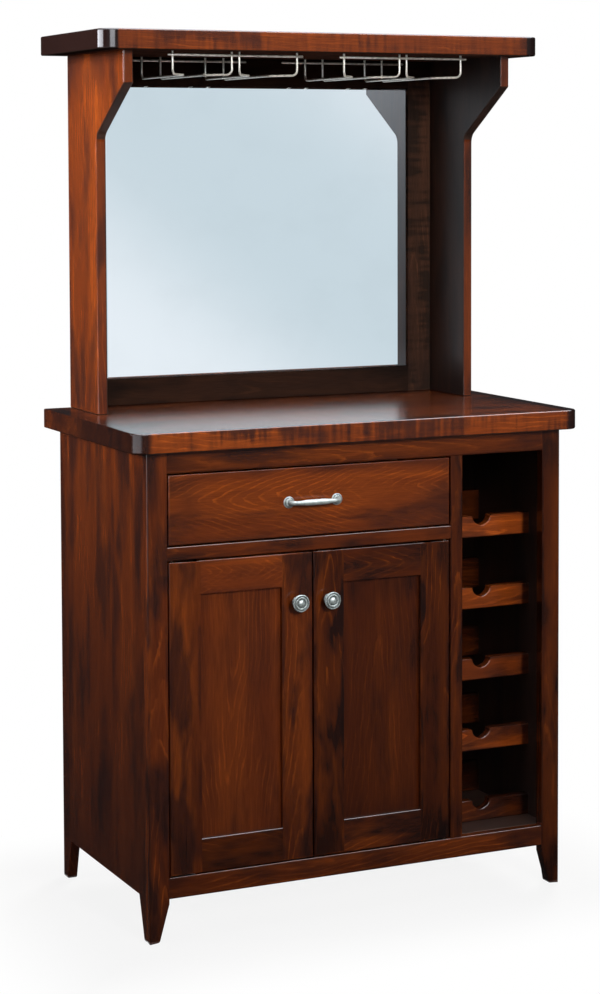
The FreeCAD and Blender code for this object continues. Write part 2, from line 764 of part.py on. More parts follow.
# Bar pull on two stepped rosettes, each held by a screw from inside
pull_level = (front_bottom + front_top) / 2
pull_ends = (door_middle - pull_spacing / 2, door_middle + pull_spacing / 2)
pull_screw_length = drawer_front_thickness + rosette_thickness + rosette_step_thickness
pull_seats = [Vector(x, drawer_front_back, pull_level) for x in pull_ends]
pull_holes = [screw_hole(seat, outward, pull_screw_length) for seat in pull_seats]
post_feet = [Vector(x, front, pull_level) for x in pull_ends]
post_tops = [foot + outward * pull_projection for foot in post_feet]
pull_route = [post_feet[0], post_tops[0], post_tops[1], post_feet[1]]
pull_neck = bent_wire(pull_route, (pull_bend_radius, pull_bend_radius), pull_neck_diameter)
bar_length = pull_spacing - 2 * pull_bend_radius
neck_radius = pull_neck_diameter / 2
bar_radius = pull_bar_diameter / 2
bar_corners = [
    (0, 0), (neck_radius, 0), (bar_radius, pull_bar_taper),
    (bar_radius, bar_length - pull_bar_taper), (neck_radius, bar_length), (0, bar_length),
]
bar_start = post_tops[0] + Vector(1, 0, 0) * pull_bend_radius
bar = revolved(list(zip(bar_corners, bar_corners[1:] + bar_corners[:1])), bar_start, Vector(1, 0, 0), up)
rosette_tiers = ((rosette_thickness, rosette_diameter),
                 (rosette_thickness + rosette_step_thickness, rosette_step_diameter))
rosettes = [rod(foot, outward, height, across) for foot in post_feet for height, across in rosette_tiers]
pull = pull_neck.fuse([bar] + rosettes).removeSplitter().cut(pull_holes)
parts["drawer_pull"] = [pull] + [screw(seat, outward, pull_screw_length) for seat in pull_seats]

drawer_front = block((opening_left + door_gap, mullion_left - door_gap), (front, drawer_front_back),
                     (front_bottom, front_top))
drawer_front = round_edges(drawer_front, drawer_edge_round, lambda box: lies_at(box.YMin, box.YMax, front))
parts["drawer_front"] = [drawer_front.cut(dovetail_sockets + [bottom_groove] + pull_holes)]


# Hutch
def hutch_side(side):
    """An upright board that steps forward to a deeper bracket under the hutch top."""
    outer = side * hutch_half
    lower_front = back - hutch_lower_depth
    upper_front = back - hutch_upper_depth
    bracket_top = hutch_under - bracket_drop
    bracket_bottom = bracket_top - bracket_rise
    top = hutch_under + hutch_housing_depth
    outline = [
        (back, counter_height), (lower_front, counter_height), (lower_front, bracket_bottom),
        (upper_front, bracket_top), (upper_front, top), (back, top),
    ]
    corners = [Vector(outer, y, z) for y, z in outline]
    board = prism(corners, Vector(-side * hutch_side_thickness, 0, 0))
    board = round_edges(board, bracket_round, lambda box: lies_at(box.YMin, box.YMax, lower_front)
                        and lies_at(box.ZMin, box.ZMax, bracket_bottom))
    return board.cut(hutch_holes)


parts["hutch_left_side"] = [hutch_side(-1)]
parts["hutch_right_side"] = [hutch_side(1)]

# Mirror frame, rabbeted from behind for the mirror and its backing
mirror_seat_ys = (mirror_front + mirror_lip_thickness, back)
mirror_seat = block((-mirror_half - mirror_rabbet, mirror_half + mirror_rabbet),
                    (mirror_seat_ys[0], back + cut_overrun),
                    (mirror_bottom - mirror_rabbet, mirror_top + mirror_rabbet))
mirror_middle = mirror_front + mirror_frame_thickness / 2
tenon_levels = {
    "bottom": (counter_height + mirror_tenon_shoulder, mirror_bottom - mirror_rabbet - mirror_tenon_shoulder),
    "top": (mirror_top + mirror_rabbet + mirror_tenon_shoulder, hutch_under - mirror_tenon_shoulder),
}
tenon_reach = mirror_half + mirror_tenon_length
mirror_tenons = {
    end: frame_tenon((-tenon_reach, tenon_reach), mirror_middle, levels, mirror_tenon_thickness)
    for end, levels in tenon_levels.items()
}
mirror_depth = (mirror_front, back)
for side_name, side in (("left", -1), ("right", 1)):
    stile = block((side * hutch_inner, side * mirror_half), mirror_depth, (counter_height, hutch_under))
    parts["mirror_%s_stile" % side_name] = [stile.cut([mirror_seat] + list(mirror_tenons.values()))]
rail_levels = {"bottom": (counter_height, mirror_bottom), "top": (mirror_top, hutch_under)}
for end, levels in rail_levels.items():
    rail = block((-mirror_half, mirror_half), mirror_depth, levels).cut(mirror_seat)
    parts["mirror_%s_rail" % end] = [rail.fuse(mirror_tenons[end]).removeSplitter()]
glass_half = mirror_half + mirror_rabbet - mirror_edge_gap
glass_levels = (mirror_bottom - mirror_rabbet + mirror_edge_gap, mirror_top + mirror_rabbet - mirror_edge_gap)
glass_back = mirror_seat_ys[0] + mirror_thickness
parts["mirror_glass"] = [block((-glass_half, glass_half), (mirror_seat_ys[0], glass_back), glass_levels)]
parts["mirror_backing"] = [block((-glass_half, glass_half), (glass_back, back), glass_levels)]

# Stemware racks: each channel is a pair of rails that flare to a wide mouth and turn up into posts
rack_front = hutch_top_front + rack_front_setback
rack_rear = mirror_front - rack_rear_gap
rack_level = hutch_under - rack_drop
rack_bar_level = hutch_under - rack_bar_drop
post_top = hutch_under + rack_post_seat
rack_bar_half = rack_channel_spacing / 2 + rack_mouth_width / 2 + rack_bar_overhang


def rack_wire(channel_x, side):
    """One rail of a channel, from its front post through the flare to its rear post."""
    mouth_x = channel_x + side * rack_mouth_width / 2
    slot_x = channel_x + side * rack_slot_width / 2
    route = [
        Vector(mouth_x, rack_front, post_top), Vector(mouth_x, rack_front, rack_level),
        Vector(slot_x, rack_front + rack_flare_depth, rack_level), Vector(slot_x, rack_rear, rack_level),
        Vector(slot_x, rack_rear, post_top),
    ]
    return bent_wire(route, (rack_post_bend, rack_flare_bend, rack_post_bend), rack_wire_diameter)


post_holes = []
for rack_name, side in (("left", -1), ("right", 1)):
    middle = side * rack_center
    wires = []
    for channel_side in (-1, 1):
        channel_x = middle + channel_side * rack_channel_spacing / 2
        for wire_side in (-1, 1):
            wires.append(rack_wire(channel_x, wire_side))
            hole_diameter = rack_wire_diameter + 2 * rack_post_clearance
            mouth_x = channel_x + wire_side * rack_mouth_width / 2
            slot_x = channel_x + wire_side * rack_slot_width / 2
            for post_x, post_y in ((mouth_x, rack_front), (slot_x, rack_rear)):
                post_foot = Vector(post_x, post_y, hutch_under)
                post_holes.append(rod(post_foot, up, rack_post_seat, hole_diameter))
    weld = rack_wire_diameter - rack_bar_weld
    bar_starts = [
        Vector(middle - rack_bar_half, y, rack_bar_level) for y in (rack_front - weld, rack_rear + weld)
    ]
    bars = [rod(start, Vector(1, 0, 0), 2 * rack_bar_half, rack_wire_diameter) for start in bar_starts]
    parts["%s_stemware_rack" % rack_name] = [wires[0].fuse(wires[1:] + bars)]

hutch_top = slab(hutch_top_width, hutch_top_depth, hutch_under, hutch_top_thickness, hutch_top_corner_radius,
                 hutch_top_edge_round)
housings = parts["hutch_left_side"] + parts["hutch_right_side"]
parts["hutch_top"] = [hutch_top.cut(housings + post_holes)]

os.makedirs("parts", exist_ok=True)
for name, solids in parts.items():
    shape = solids[0] if len(solids) == 1 else Part.makeCompound(solids)
    shape.exportStep("parts/%s.step" % name)
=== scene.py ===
"""Dresses the wine cabinet: stained maple boards, pewter pulls, wire stemware racks and a bevelled mirror."""
import json
import math
from collections import namedtuple
from functools import partial

import bmesh
import bpy
import numpy as np
from bpy.props import FloatProperty, FloatVectorProperty, PointerProperty
from mathutils import Matrix, Vector


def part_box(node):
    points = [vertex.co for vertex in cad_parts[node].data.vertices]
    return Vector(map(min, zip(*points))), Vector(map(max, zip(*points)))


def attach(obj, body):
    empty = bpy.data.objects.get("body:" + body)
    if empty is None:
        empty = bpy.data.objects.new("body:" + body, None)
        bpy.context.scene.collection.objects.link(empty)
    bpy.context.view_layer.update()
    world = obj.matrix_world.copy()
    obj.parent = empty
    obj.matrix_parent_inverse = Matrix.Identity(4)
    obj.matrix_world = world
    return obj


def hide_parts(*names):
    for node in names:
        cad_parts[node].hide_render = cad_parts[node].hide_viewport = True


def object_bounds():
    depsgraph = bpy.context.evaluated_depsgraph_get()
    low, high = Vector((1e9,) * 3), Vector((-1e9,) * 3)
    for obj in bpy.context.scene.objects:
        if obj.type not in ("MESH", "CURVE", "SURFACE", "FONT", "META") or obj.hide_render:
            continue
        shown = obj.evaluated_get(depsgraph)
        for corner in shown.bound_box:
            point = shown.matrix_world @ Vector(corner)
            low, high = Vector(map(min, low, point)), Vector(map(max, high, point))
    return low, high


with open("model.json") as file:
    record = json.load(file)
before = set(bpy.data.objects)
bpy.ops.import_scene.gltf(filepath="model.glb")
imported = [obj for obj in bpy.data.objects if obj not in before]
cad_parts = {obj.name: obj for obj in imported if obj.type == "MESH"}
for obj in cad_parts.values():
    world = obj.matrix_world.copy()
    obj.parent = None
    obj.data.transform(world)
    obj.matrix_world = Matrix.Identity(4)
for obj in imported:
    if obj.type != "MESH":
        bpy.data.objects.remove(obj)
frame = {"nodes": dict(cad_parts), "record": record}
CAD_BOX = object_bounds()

bl_info = {
    "name": "Wine cabinet dressing",
    "version": (1, 0, 0),
    "blender": (4, 5, 0),
    "location": "View3D > Sidebar > Cabinet",
    "description": "Boards, hardware, mirror and studio for a stained maple wine cabinet",
    "category": "Object",
}

NODE_BODY = {node: body for body, nodes in frame["record"]["behaviour"]["bodies"].items() for node in nodes}
NODE_SLOT = {part["node"]: part["material_slot"] for part in frame["record"]["subparts"]}
MM = 0.001
SHARP = math.radians(50)
WHITE = (1.0, 1.0, 1.0, 1.0)
OUTWARD = np.array((0.0, -1.0, 0.0))
SIDEWAYS = (1.0, 0.0, 0.0)
UPWARD = (0.0, 0.0, 1.0)
SHARED = {}


def shared(key, maker, *values):
    """A node group or material that is made once and used by several pieces."""
    if key not in SHARED:
        SHARED[key] = maker(*values)
    return SHARED[key]


# Settings that a user would change
def color_setting(name, description, default):
    """A linear colour setting."""
    return FloatVectorProperty(name=name, description=description, default=default, size=3, subtype="COLOR",
                               min=0.0, max=1.0)


def length_setting(name, description, default):
    """A length setting in metres."""
    return FloatProperty(name=name, description=description, default=default, unit="LENGTH", min=0.0,
                         precision=5)


def angle_setting(name, description, degrees):
    """An angle setting, given in degrees."""
    return FloatProperty(name=name, description=description, default=math.radians(degrees), subtype="ANGLE")


class StainSettings(bpy.types.PropertyGroup):
    """Colours, edges and growth rings of the boards."""
    mid: color_setting("Mid stain", "Main colour of the stained maple", (0.088, 0.0170, 0.0038))
    light: color_setting("Light stain", "Orange streaks and growth lines", (0.270, 0.0560, 0.0066))
    dark: color_setting("Dark stain", "Blotches that took up more stain", (0.017, 0.0066, 0.0054))
    # The inner colours are a darker stain for boards inside the case and at the back; where they stand on the
    # mirror frame's front, under the slabs, on the hutch's inner sides and on faces that look down, they are
    # painted shade.
    inner: color_setting("Inner stain", "Boards inside the case and at the back", (0.0325, 0.0166, 0.0118))
    inner_light: color_setting("Inner streaks", "Streaks on the inner boards", (0.0600, 0.0258, 0.0147))
    inner_dark: color_setting("Inner blotches", "Blotches on the inner boards", (0.0145, 0.0100, 0.0083))
    box: color_setting("Drawer maple", "Clear lacquered drawer box", (0.560, 0.370, 0.195))
    box_light: color_setting("Drawer streaks", "Light streaks of the drawer box", (0.680, 0.490, 0.290))
    box_dark: color_setting("Drawer lines", "Dark streaks of the drawer box", (0.420, 0.250, 0.120))
    easing: length_setting("Eased edge", "Round on the outer edges of the boards", 0.0026)
    inner_easing: length_setting("Inner eased edge", "Round on the edges of boards inside the case", 0.0007)
    ring: length_setting("Growth rings", "Distance from one growth line to the next", 0.0095)


class MetalSettings(bpy.types.PropertyGroup):
    """Colours of the metal pieces."""
    pewter: color_setting("Pewter", "Rubbed high spots of the knobs and the pull", (0.450, 0.490, 0.468))
    patina: color_setting("Patina", "Dark finish in the grooves", (0.135, 0.152, 0.145))
    wire: color_setting("Rack wire", "Plated wire of the stemware racks", (0.93, 0.90, 0.80))
    zinc: color_setting("Zinc", "Slides, screws and pins", (0.56, 0.58, 0.61))
    brass: color_setting("Brass", "Darkened brass of the hinge leaves", (0.085, 0.060, 0.042))
    silver: color_setting("Silvering", "Mirror coating seen through the glass", (0.86, 0.905, 0.925))


class StageSettings(bpy.types.PropertyGroup):
    """Camera, even light and floor."""
    lens: FloatProperty(name="Lens", description="Focal length on a 36 mm sensor", default=85.347,
                        unit="CAMERA")
    shift: FloatProperty(name="Rise", description="Vertical shift of the lens", default=-0.20)
    place: FloatVectorProperty(name="Camera place", description="Where the camera stands",
                               default=(-1.9193, -4.0475, 1.3912), unit="LENGTH")
    yaw: angle_setting("Yaw", "Turn to the right of straight ahead", 25.1158)
    pitch: angle_setting("Pitch", "Tilt above level", -3.3793)
    roll: angle_setting("Roll", "Turn about the line of sight", -0.1976)
    ambient: FloatProperty(name="Ambient", description="Strength of the even light", default=0.12)
    floor: color_setting("Floor", "Pale studio floor", (0.66, 0.66, 0.66))


# Meshes
BEND_POINTS = 9
NEARLY_UPRIGHT = 0.9


def new_object(name, data):
    """Link a mesh, a lamp or a camera into the scene under a name."""
    made = bpy.data.objects.new(name, data)
    bpy.context.scene.collection.objects.link(made)
    return made


def place_piece(piece, node):
    """Let a piece stand for its node, on its body."""
    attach(piece, NODE_BODY[node])
    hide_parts(node)


def node_box(node):
    """The lowest and the highest corner of a node, as arrays."""
    return [np.array(corner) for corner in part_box(node)]


def grid_faces(rows, columns):
    """Quads of a grid of points counted row by row, whose last column joins its first."""
    row = np.arange(rows - 1)[:, None]
    column = np.arange(columns)[None, :]
    beside = (column + 1) % columns
    corners = (row * columns + column, row * columns + beside,
               (row + 1) * columns + beside, (row + 1) * columns + column)
    return np.stack(corners, axis=-1).reshape(-1, 4)


def smooth_mesh(name, points, faces, values):
    """A mesh that is shaded smooth except across sharp edges, with named numbers or vectors on its points."""
    mesh = bpy.data.meshes.new(name)
    mesh.from_pydata(points.tolist(), [], faces)
    mesh.polygons.foreach_set("use_smooth", np.ones(len(faces), bool))
    for key, value in values.items():
        kind, field = ("FLOAT", "value") if value.ndim == 1 else ("FLOAT_VECTOR", "vector")
        layer = mesh.attributes.new(key, kind, "POINT")
        layer.data.foreach_set(field, np.ascontiguousarray(value, np.float32).ravel())
    mesh.set_sharp_from_angle(angle=SHARP)
    return mesh


def surface_mesh(name, surfaces, finish, values):
    """One smooth mesh of several closed (points, faces) surfaces, with its finish."""
    starts = np.cumsum([0] + [len(points) for points, _ in surfaces])
    faces = [(np.asarray(face) + start).tolist()
             for (_, some_faces), start in zip(surfaces, starts) for face in some_faces]
    mesh = smooth_mesh(name, np.concatenate([points for points, _ in surfaces]), faces, values)
    mesh.materials.append(finish)
    return mesh


def unit(vector):
    """A vector of length one."""
    vector = np.asarray(vector, float)
    return vector / np.linalg.norm(vector)


def full_turn(count):
    """Angles spread evenly round a circle."""
    return np.linspace(0, 2 * math.pi, count, endpoint=False)


def circle_run(start, through, end, count):
    """Points on the circle arc that passes through three points of a plane: the centre is where the two
    bisectors meet, and the angle grows evenly from the first point past the middle one to the last."""
    start, through, end = (np.asarray(point, float) for point in (start, through, end))
    rows = np.stack([through - start, end - start])
    centre = start + np.linalg.solve(rows, (rows ** 2).sum(1) / 2)
    angles = [math.atan2(*(point - centre)[::-1]) for point in (start, through, end)]
    turn = (angles[2] - angles[0]) % (2 * math.pi)
    if (angles[1] - angles[0]) % (2 * math.pi) > turn:
        turn -= 2 * math.pi
    steps = angles[0] + turn * np.linspace(0, 1, count)
    radius = np.linalg.norm(start - centre)
    return centre + radius * np.stack([np.cos(steps), np.sin(steps)], axis=1)


def turning(profile, origin, outward, around):
    """A turned piece: a (radius, height) profile whose ends lie on the axis, carried round the axis.
    A point is origin + height * outward + radius * (cos a * side + sin a * up)."""
    outward = unit(outward)
    side = unit(np.cross(outward, UPWARD) if abs(outward[2]) < NEARLY_UPRIGHT else SIDEWAYS)
    up = np.cross(outward, side)
    angle = full_turn(around)[:, None]
    spokes = np.cos(angle) * side + np.sin(angle) * up
    rings = profile[1:-1]
    points = origin + rings[:, None, 1:] * outward + rings[:, None, :1] * spokes
    ends = np.stack([origin + outward * height for height in profile[[0, -1], 1]])
    far, first = (len(rings) - 1) * around, len(rings) * around
    here = np.arange(around)
    beside = (here + 1) % around
    faces = grid_faces(len(rings), around).tolist()
    faces += np.stack([np.full(around, first), beside, here], axis=1).tolist()
    faces += np.stack([far + here, far + beside, np.full(around, first + 1)], axis=1).tolist()
    return np.concatenate([points.reshape(-1, 3), ends]), faces


def bent_path(corners, bends, step):
    """Straight runs joined by tangent arcs of the given radii, with points about a step apart. An arc's
    point is centre + radius * (sin t * forward - cos t * inward), t from minus to plus half the turn."""
    corners = [np.asarray(corner, float) for corner in corners]
    knots = [corners[0][None]]
    for before, corner, after, radius in zip(corners, corners[1:], corners[2:], bends):
        into, leaving = unit(corner - before), unit(after - corner)
        turn = math.acos(np.clip(into @ leaving, -1, 1))
        inward = unit(leaving - into)
        centre = corner + inward * radius / math.cos(turn / 2)
        angle = np.linspace(-turn / 2, turn / 2, BEND_POINTS)[:, None]
        knots.append(centre + radius * (np.sin(angle) * unit(into + leaving) - np.cos(angle) * inward))
    knots = np.concatenate([*knots, corners[-1][None]])
    run = np.concatenate([[0], np.cumsum(np.linalg.norm(np.diff(knots, axis=0), axis=1))])
    extra = np.arange(step, run[-1], step)
    lengths = np.unique(np.concatenate([run, extra[np.abs(extra[:, None] - run).min(1) > step / 3]]))
    return np.stack([np.interp(lengths, run, knots[:, axis]) for axis in range(3)], axis=1), lengths


def tube(path, radii, reference, around):
    """A round section carried along a path: each ring lies square to the path's direction, with its first
    spoke square to the direction and to a reference that the path never runs along."""
    radii = np.broadcast_to(np.asarray(radii, float), len(path))
    ahead = np.gradient(path, axis=0)
    ahead /= np.linalg.norm(ahead, axis=1)[:, None]
    sides = np.cross(ahead, reference)
    sides /= np.linalg.norm(sides, axis=1)[:, None]
    ups = np.cross(ahead, sides)
    angle = full_turn(around)[None, :, None]
    spokes = np.cos(angle) * sides[:, None] + np.sin(angle) * ups[:, None]
    points = (path[:, None] + radii[:, None, None] * spokes).reshape(-1, 3)
    faces = grid_faces(len(path), around).tolist()
    faces.append(np.arange(around)[::-1].tolist())
    faces.append((np.arange(around) + (len(path) - 1) * around).tolist())
    return points, faces


# Shader nodes
NOISE_ROUGHNESS = 0.55


def add_node(tree, kind, inputs=None, **settings):
    """Add a node with its own settings, and feed its sockets with values or with other sockets."""
    node = tree.nodes.new("ShaderNode" + kind)
    for key, value in settings.items():
        setattr(node, key, value)
    for key, value in (inputs or {}).items():
        if isinstance(value, bpy.types.NodeSocket):
            tree.links.new(value, node.inputs[key])
        else:
            node.inputs[key].default_value = value
    return node


def math_node(tree, operation, first, second=0.0, clamp=False):
    """The result of one sum on two values."""
    return add_node(tree, "Math", {0: first, 1: second}, operation=operation, use_clamp=clamp).outputs[0]


def sums(tree):
    """Short names for the sums that a tree uses most: product, sum, difference and the larger value."""
    return [partial(math_node, tree, name) for name in ("MULTIPLY", "ADD", "SUBTRACT", "MAXIMUM")]


def vector_sum(tree, operation, first, second):
    """The result of one sum on two vectors."""
    return add_node(tree, "VectorMath", {0: first, 1: second}, operation=operation).outputs[0]


def scaled_color(tree, color, factor):
    """A colour times a factor."""
    return add_node(tree, "VectorMath", {0: color, 3: factor}, operation="SCALE").outputs[0]


def split(tree, vector):
    """The three parts of a vector."""
    return add_node(tree, "SeparateXYZ", {0: vector}).outputs


def stretched_noise(tree, place, stretch, detail, output="Fac"):
    """Noise whose coordinates are stretched by three factors, in cycles per metre."""
    scaled = vector_sum(tree, "MULTIPLY", place, stretch)
    return add_node(tree, "TexNoise", {"Vector": scaled, "Scale": 1.0, "Detail": detail,
                                       "Roughness": NOISE_ROUGHNESS}).outputs[output]


def eased_range(tree, value, low, high, out_low=0.0, out_high=1.0):
    """A soft step from one value to another."""
    return add_node(tree, "MapRange", {0: value, 1: low, 2: high, 3: out_low, 4: out_high},
                    interpolation_type="SMOOTHSTEP").outputs[0]


def color_mix(tree, factor, first, second):
    """Two colours mixed by a factor."""
    return add_node(tree, "Mix", {0: factor, 6: first, 7: second}, data_type="RGBA").outputs[2]


def mix_shaders(tree, output, factor, first, second):
    """Lead two shaders, mixed by a factor, to an output node."""
    mixed = add_node(tree, "MixShader", {0: factor, 1: first.outputs[0], 2: second.outputs[0]})
    tree.links.new(mixed.outputs[0], tree.nodes[output].inputs["Surface"])


def opaque(color, share=1.0):
    """A share of a colour, with full alpha."""
    return (*(channel * share for channel in color), 1.0)


def object_place(tree):
    """Object coordinates in metres."""
    return add_node(tree, "TexCoord").outputs["Object"]


def attribute(tree, name, output):
    """What the mesh carries under a name."""
    return add_node(tree, "Attribute", attribute_name=name).outputs[output]


def new_group(name, inputs, outputs):
    """An empty shader node group with named sockets, and its input and output nodes."""
    group = bpy.data.node_groups.new(name, "ShaderNodeTree")
    for label, kind in inputs.items():
        group.interface.new_socket(label, in_out="INPUT", socket_type=kind)
    for label in outputs:
        group.interface.new_socket(label, in_out="OUTPUT", socket_type="NodeSocketFloat")
    return group, group.nodes.new("NodeGroupInput"), group.nodes.new("NodeGroupOutput")


def new_material(name, **constants):
    """A material with one Principled shader whose plain sockets are set."""
    material = bpy.data.materials.new(name)
    material.use_nodes = True
    shader = material.node_tree.nodes["Principled BSDF"]
    for key, value in constants.items():
        shader.inputs[key.replace("_", " ")].default_value = value
    return material, material.node_tree, shader.inputs


def feed_surface(tree, surface, color, rough, height, strength, depth):
    """Feed a shader's colour, its roughness, and its normal from a height."""
    tree.links.new(color, surface["Base Color"])
    tree.links.new(rough, surface["Roughness"])
    bump = add_node(tree, "Bump", {"Strength": strength, "Distance": depth, "Height": height})
    tree.links.new(bump.outputs[0], surface["Normal"])


# Maple
BOARD_VALUES = ("Grain", "Span", "Board", "Cut", "Look")
# A noise's cycles per metre along and across the grain, its detail, and the soft step that shapes it
Veil = namedtuple("Veil", "along across detail step", defaults=(None,))
VEILS = {
    "warp": Veil(4.0, 12.0, 2.0),
    "jag": Veil(60.0, 220.0, 1.0),
    "shown": Veil(5.0, 12.0, 1.0, (0.42, 0.60)),
    "broken": Veil(24.0, 90.0, 2.0, (0.38, 0.58, 0.40, 1.0)),
    "streaks": Veil(1.6, 46.0, 3.0, (0.48, 0.72)),
    "broad": Veil(1.2, 13.0, 2.0, (0.40, 0.66)),
    "ripple": Veil(95.0, 10.0, 1.0),
    "cloud": Veil(5.0, 19.0, 3.0),
    "fibre": Veil(30.0, 1100.0, 2.0),
    "patchy": Veil(9.0, 26.0, 2.0, (0.38, 0.62)),
}
STAVE_STEP = 3.71
LOG_STEP = 5.3
LOG_SHIFT = (1.3, 2.1, 0.7)
SWAY = 0.040
BEND = 0.03
ASIDE = 0.05
JAG = 0.0036
LINE_RISE = (0.66, 0.93)
LINE_FALL = (0.94, 1.0, 1.0, 0.0)
STREAK_SHARE = 0.42
BROAD_SHARE = 0.36
LINE_SHARE = 0.80
CLOUD_STEP = (0.46, 0.68)
BORDER_RISE = (0.66, 0.98)
BORDER_FALL = (0.985, 0.996, 1.0, 0.0)
UNEVEN_STAVES = (0.25, 0.60, 0.50, 1.0)
EVEN_FRONT = (0.30, 0.10)
END_STEP = (0.922, 0.948)
STAVE_TONE = 0.55
BLOTCH_SHARE = 0.90
EDGE_SHARE = 0.70
END_GRAIN = 0.45
FIBRE_TONE = (0.30, 0.70, 0.80, 1.20)
FIBRE_ROUGH = 0.06
FIBRE_BUMP = (0.10, 0.2 * MM)
STAINED = ("mid", "light", "dark")
INNER = ("inner", "inner_light", "inner_dark")
Finish = namedtuple("Finish", "label colors depth gloss level")
FINISHES = {
    "stained": Finish("Stained maple", STAINED, 1.0, 0.12, 0.40),
    "polished": Finish("Polished maple", STAINED, 0.75, 0.155, 0.90),
    "inner": Finish("Inner maple", INNER, 1.0, 0.55, 0.0),
    "satin": Finish("Satin maple", INNER, 1.0, 0.36, 0.20),
    "clear": Finish("Clear maple", ("box", "box_light", "box_dark"), 1.0, 0.34, 0.35),
}


def maple_figure():
    """Node group: where a maple board shows streaks, growth lines, blotches, fibres and edge stain.
    A growth line is where the distance from the middle of the board, rounded near the middle, plus a climb
    along the board comes to a whole number of rings, so the lines make a row of peaks. Everything else is
    noise stretched along the grain."""
    sockets = dict.fromkeys(BOARD_VALUES, "NodeSocketVector")
    group, given, result = new_group("Maple figure", {**sockets, "Ring": "NodeSocketFloat"},
                                     ["Light", "Dark", "Fibre", "Gain", "Edge", "End"])
    times, plus, minus, larger = sums(group)
    step = partial(eased_range, group)
    grain, span, board, cut, look = (split(group, given.outputs[label]) for label in BOARD_VALUES)
    seed, tone, curl = board
    stave, pith, tilt = cut
    contrast, blotch, ends = look

    def noise(key, place, output="Fac"):
        veil = VEILS[key]
        made = stretched_noise(group, place, (veil.along, veil.across, veil.across), veil.detail, output)
        return step(made, *veil.step) if veil.step else made

    # Wide boards are glued from staves, each with its own place in a log
    index = math_node(group, "FLOOR", plus(math_node(group, "DIVIDE", grain[1], stave), 0.5))
    pick = plus(times(index, STAVE_STEP), seed)
    chance = add_node(group, "TexWhiteNoise", {"W": pick}, noise_dimensions="1D").outputs["Value"]
    across = minus(grain[1], times(index, stave))
    shift = vector_sum(group, "MULTIPLY", times(plus(chance, pick), LOG_STEP), LOG_SHIFT)
    in_stave = add_node(group, "CombineXYZ", {0: grain[0], 1: across, 2: grain[2]}).outputs[0]
    straight = vector_sum(group, "ADD", in_stave, shift)

    # The grain wanders
    warp = split(group, noise("warp", straight, "Color"))
    sway = times(minus(warp[1], 0.5), SWAY)
    wander = add_node(group, "CombineXYZ", {1: sway, 2: sway}).outputs[0]
    place = vector_sum(group, "ADD", straight, wander)

    # Growth lines
    climb = plus(times(grain[0], tilt), grain[2])
    bend = times(minus(warp[2], 0.5), BEND)
    aside = times(minus(chance, 0.5), ASIDE)
    beside = plus(across, plus(sway, aside))
    reach = math_node(group, "SQRT", plus(times(beside, beside), times(pith, pith)))
    radius = plus(reach, plus(climb, bend))
    jagged = plus(radius, times(noise("jag", straight), JAG))
    saw = math_node(group, "FRACT", math_node(group, "DIVIDE", jagged, given.outputs["Ring"]))
    line = times(step(saw, *LINE_RISE), step(saw, *LINE_FALL))
    lines = times(times(line, noise("broken", straight)), noise("shown", straight))

    # Streaks, curl and blotches
    ripples = times(minus(noise("ripple", place), 0.5), curl)
    banded = plus(times(noise("streaks", place), STREAK_SHARE), times(noise("broad", place), BROAD_SHARE))
    figured = plus(banded, times(lines, LINE_SHARE))
    cloud = minus(noise("cloud", place), ripples)

    # Stain gathers along edges and ends
    end = math_node(group, "ABSOLUTE", span[0])
    rim = larger(end, math_node(group, "ABSOLUTE", span[1]))
    border = times(step(rim, *BORDER_RISE), step(rim, *BORDER_FALL))
    edge = times(border, noise("patchy", straight))
    uneven = larger(step(chance, *UNEVEN_STAVES), step(span[1], *EVEN_FRONT))
    stave_tone = times(minus(chance, 0.5), STAVE_TONE)
    outcome = {
        "Light": plus(times(figured, contrast), ripples, clamp=True),
        "Dark": times(step(cloud, *CLOUD_STEP), blotch, clamp=True),
        "Fibre": noise("fibre", straight),
        # Gain: the board's tone, which carries painted light and shade, plus a random tone for each stave.
        "Gain": math_node(group, "POWER", 2.0, plus(tone, stave_tone)),
        "Edge": times(edge, blotch, clamp=True),
        "End": times(step(end, *END_STEP), times(ends, uneven), clamp=True),
    }
    for label, socket in outcome.items():
        group.links.new(socket, result.inputs[label])
    return group


def maple_material(finish, stain):
    """Maple under lacquer: mid, light and dark stain laid out by the figure group."""
    material, tree, surface = new_material(finish.label, Specular_IOR_Level=finish.level)
    times, plus, _, _ = sums(tree)
    mid, light, dark = (opaque(getattr(stain, name), finish.depth) for name in finish.colors)
    inputs = {label: attribute(tree, label.lower(), "Vector") for label in BOARD_VALUES}
    figure = add_node(tree, "Group", {**inputs, "Ring": stain.ring},
                      node_tree=shared("figure", maple_figure)).outputs
    color = color_mix(tree, figure["Light"], mid, light)
    color = color_mix(tree, times(figure["Dark"], BLOTCH_SHARE), color, dark)
    color = color_mix(tree, times(figure["Edge"], EDGE_SHARE), color, dark)
    color = color_mix(tree, figure["End"], color, opaque(dark[:3], END_GRAIN))
    gain = times(figure["Gain"], eased_range(tree, figure["Fibre"], *FIBRE_TONE))
    rough = plus(times(figure["Fibre"], FIBRE_ROUGH), finish.gloss)
    feed_surface(tree, surface, scaled_color(tree, color, gain), rough, figure["Fibre"], *FIBRE_BUMP)
    return material


# Metal, mirror and plastic
BLOTCHES = (160.0, 160.0, 160.0)
BLOTCH_STEP = (0.35, 0.68)
SCRATCHES = (420.0, 2600.0, 2600.0)
WORN = 0.72
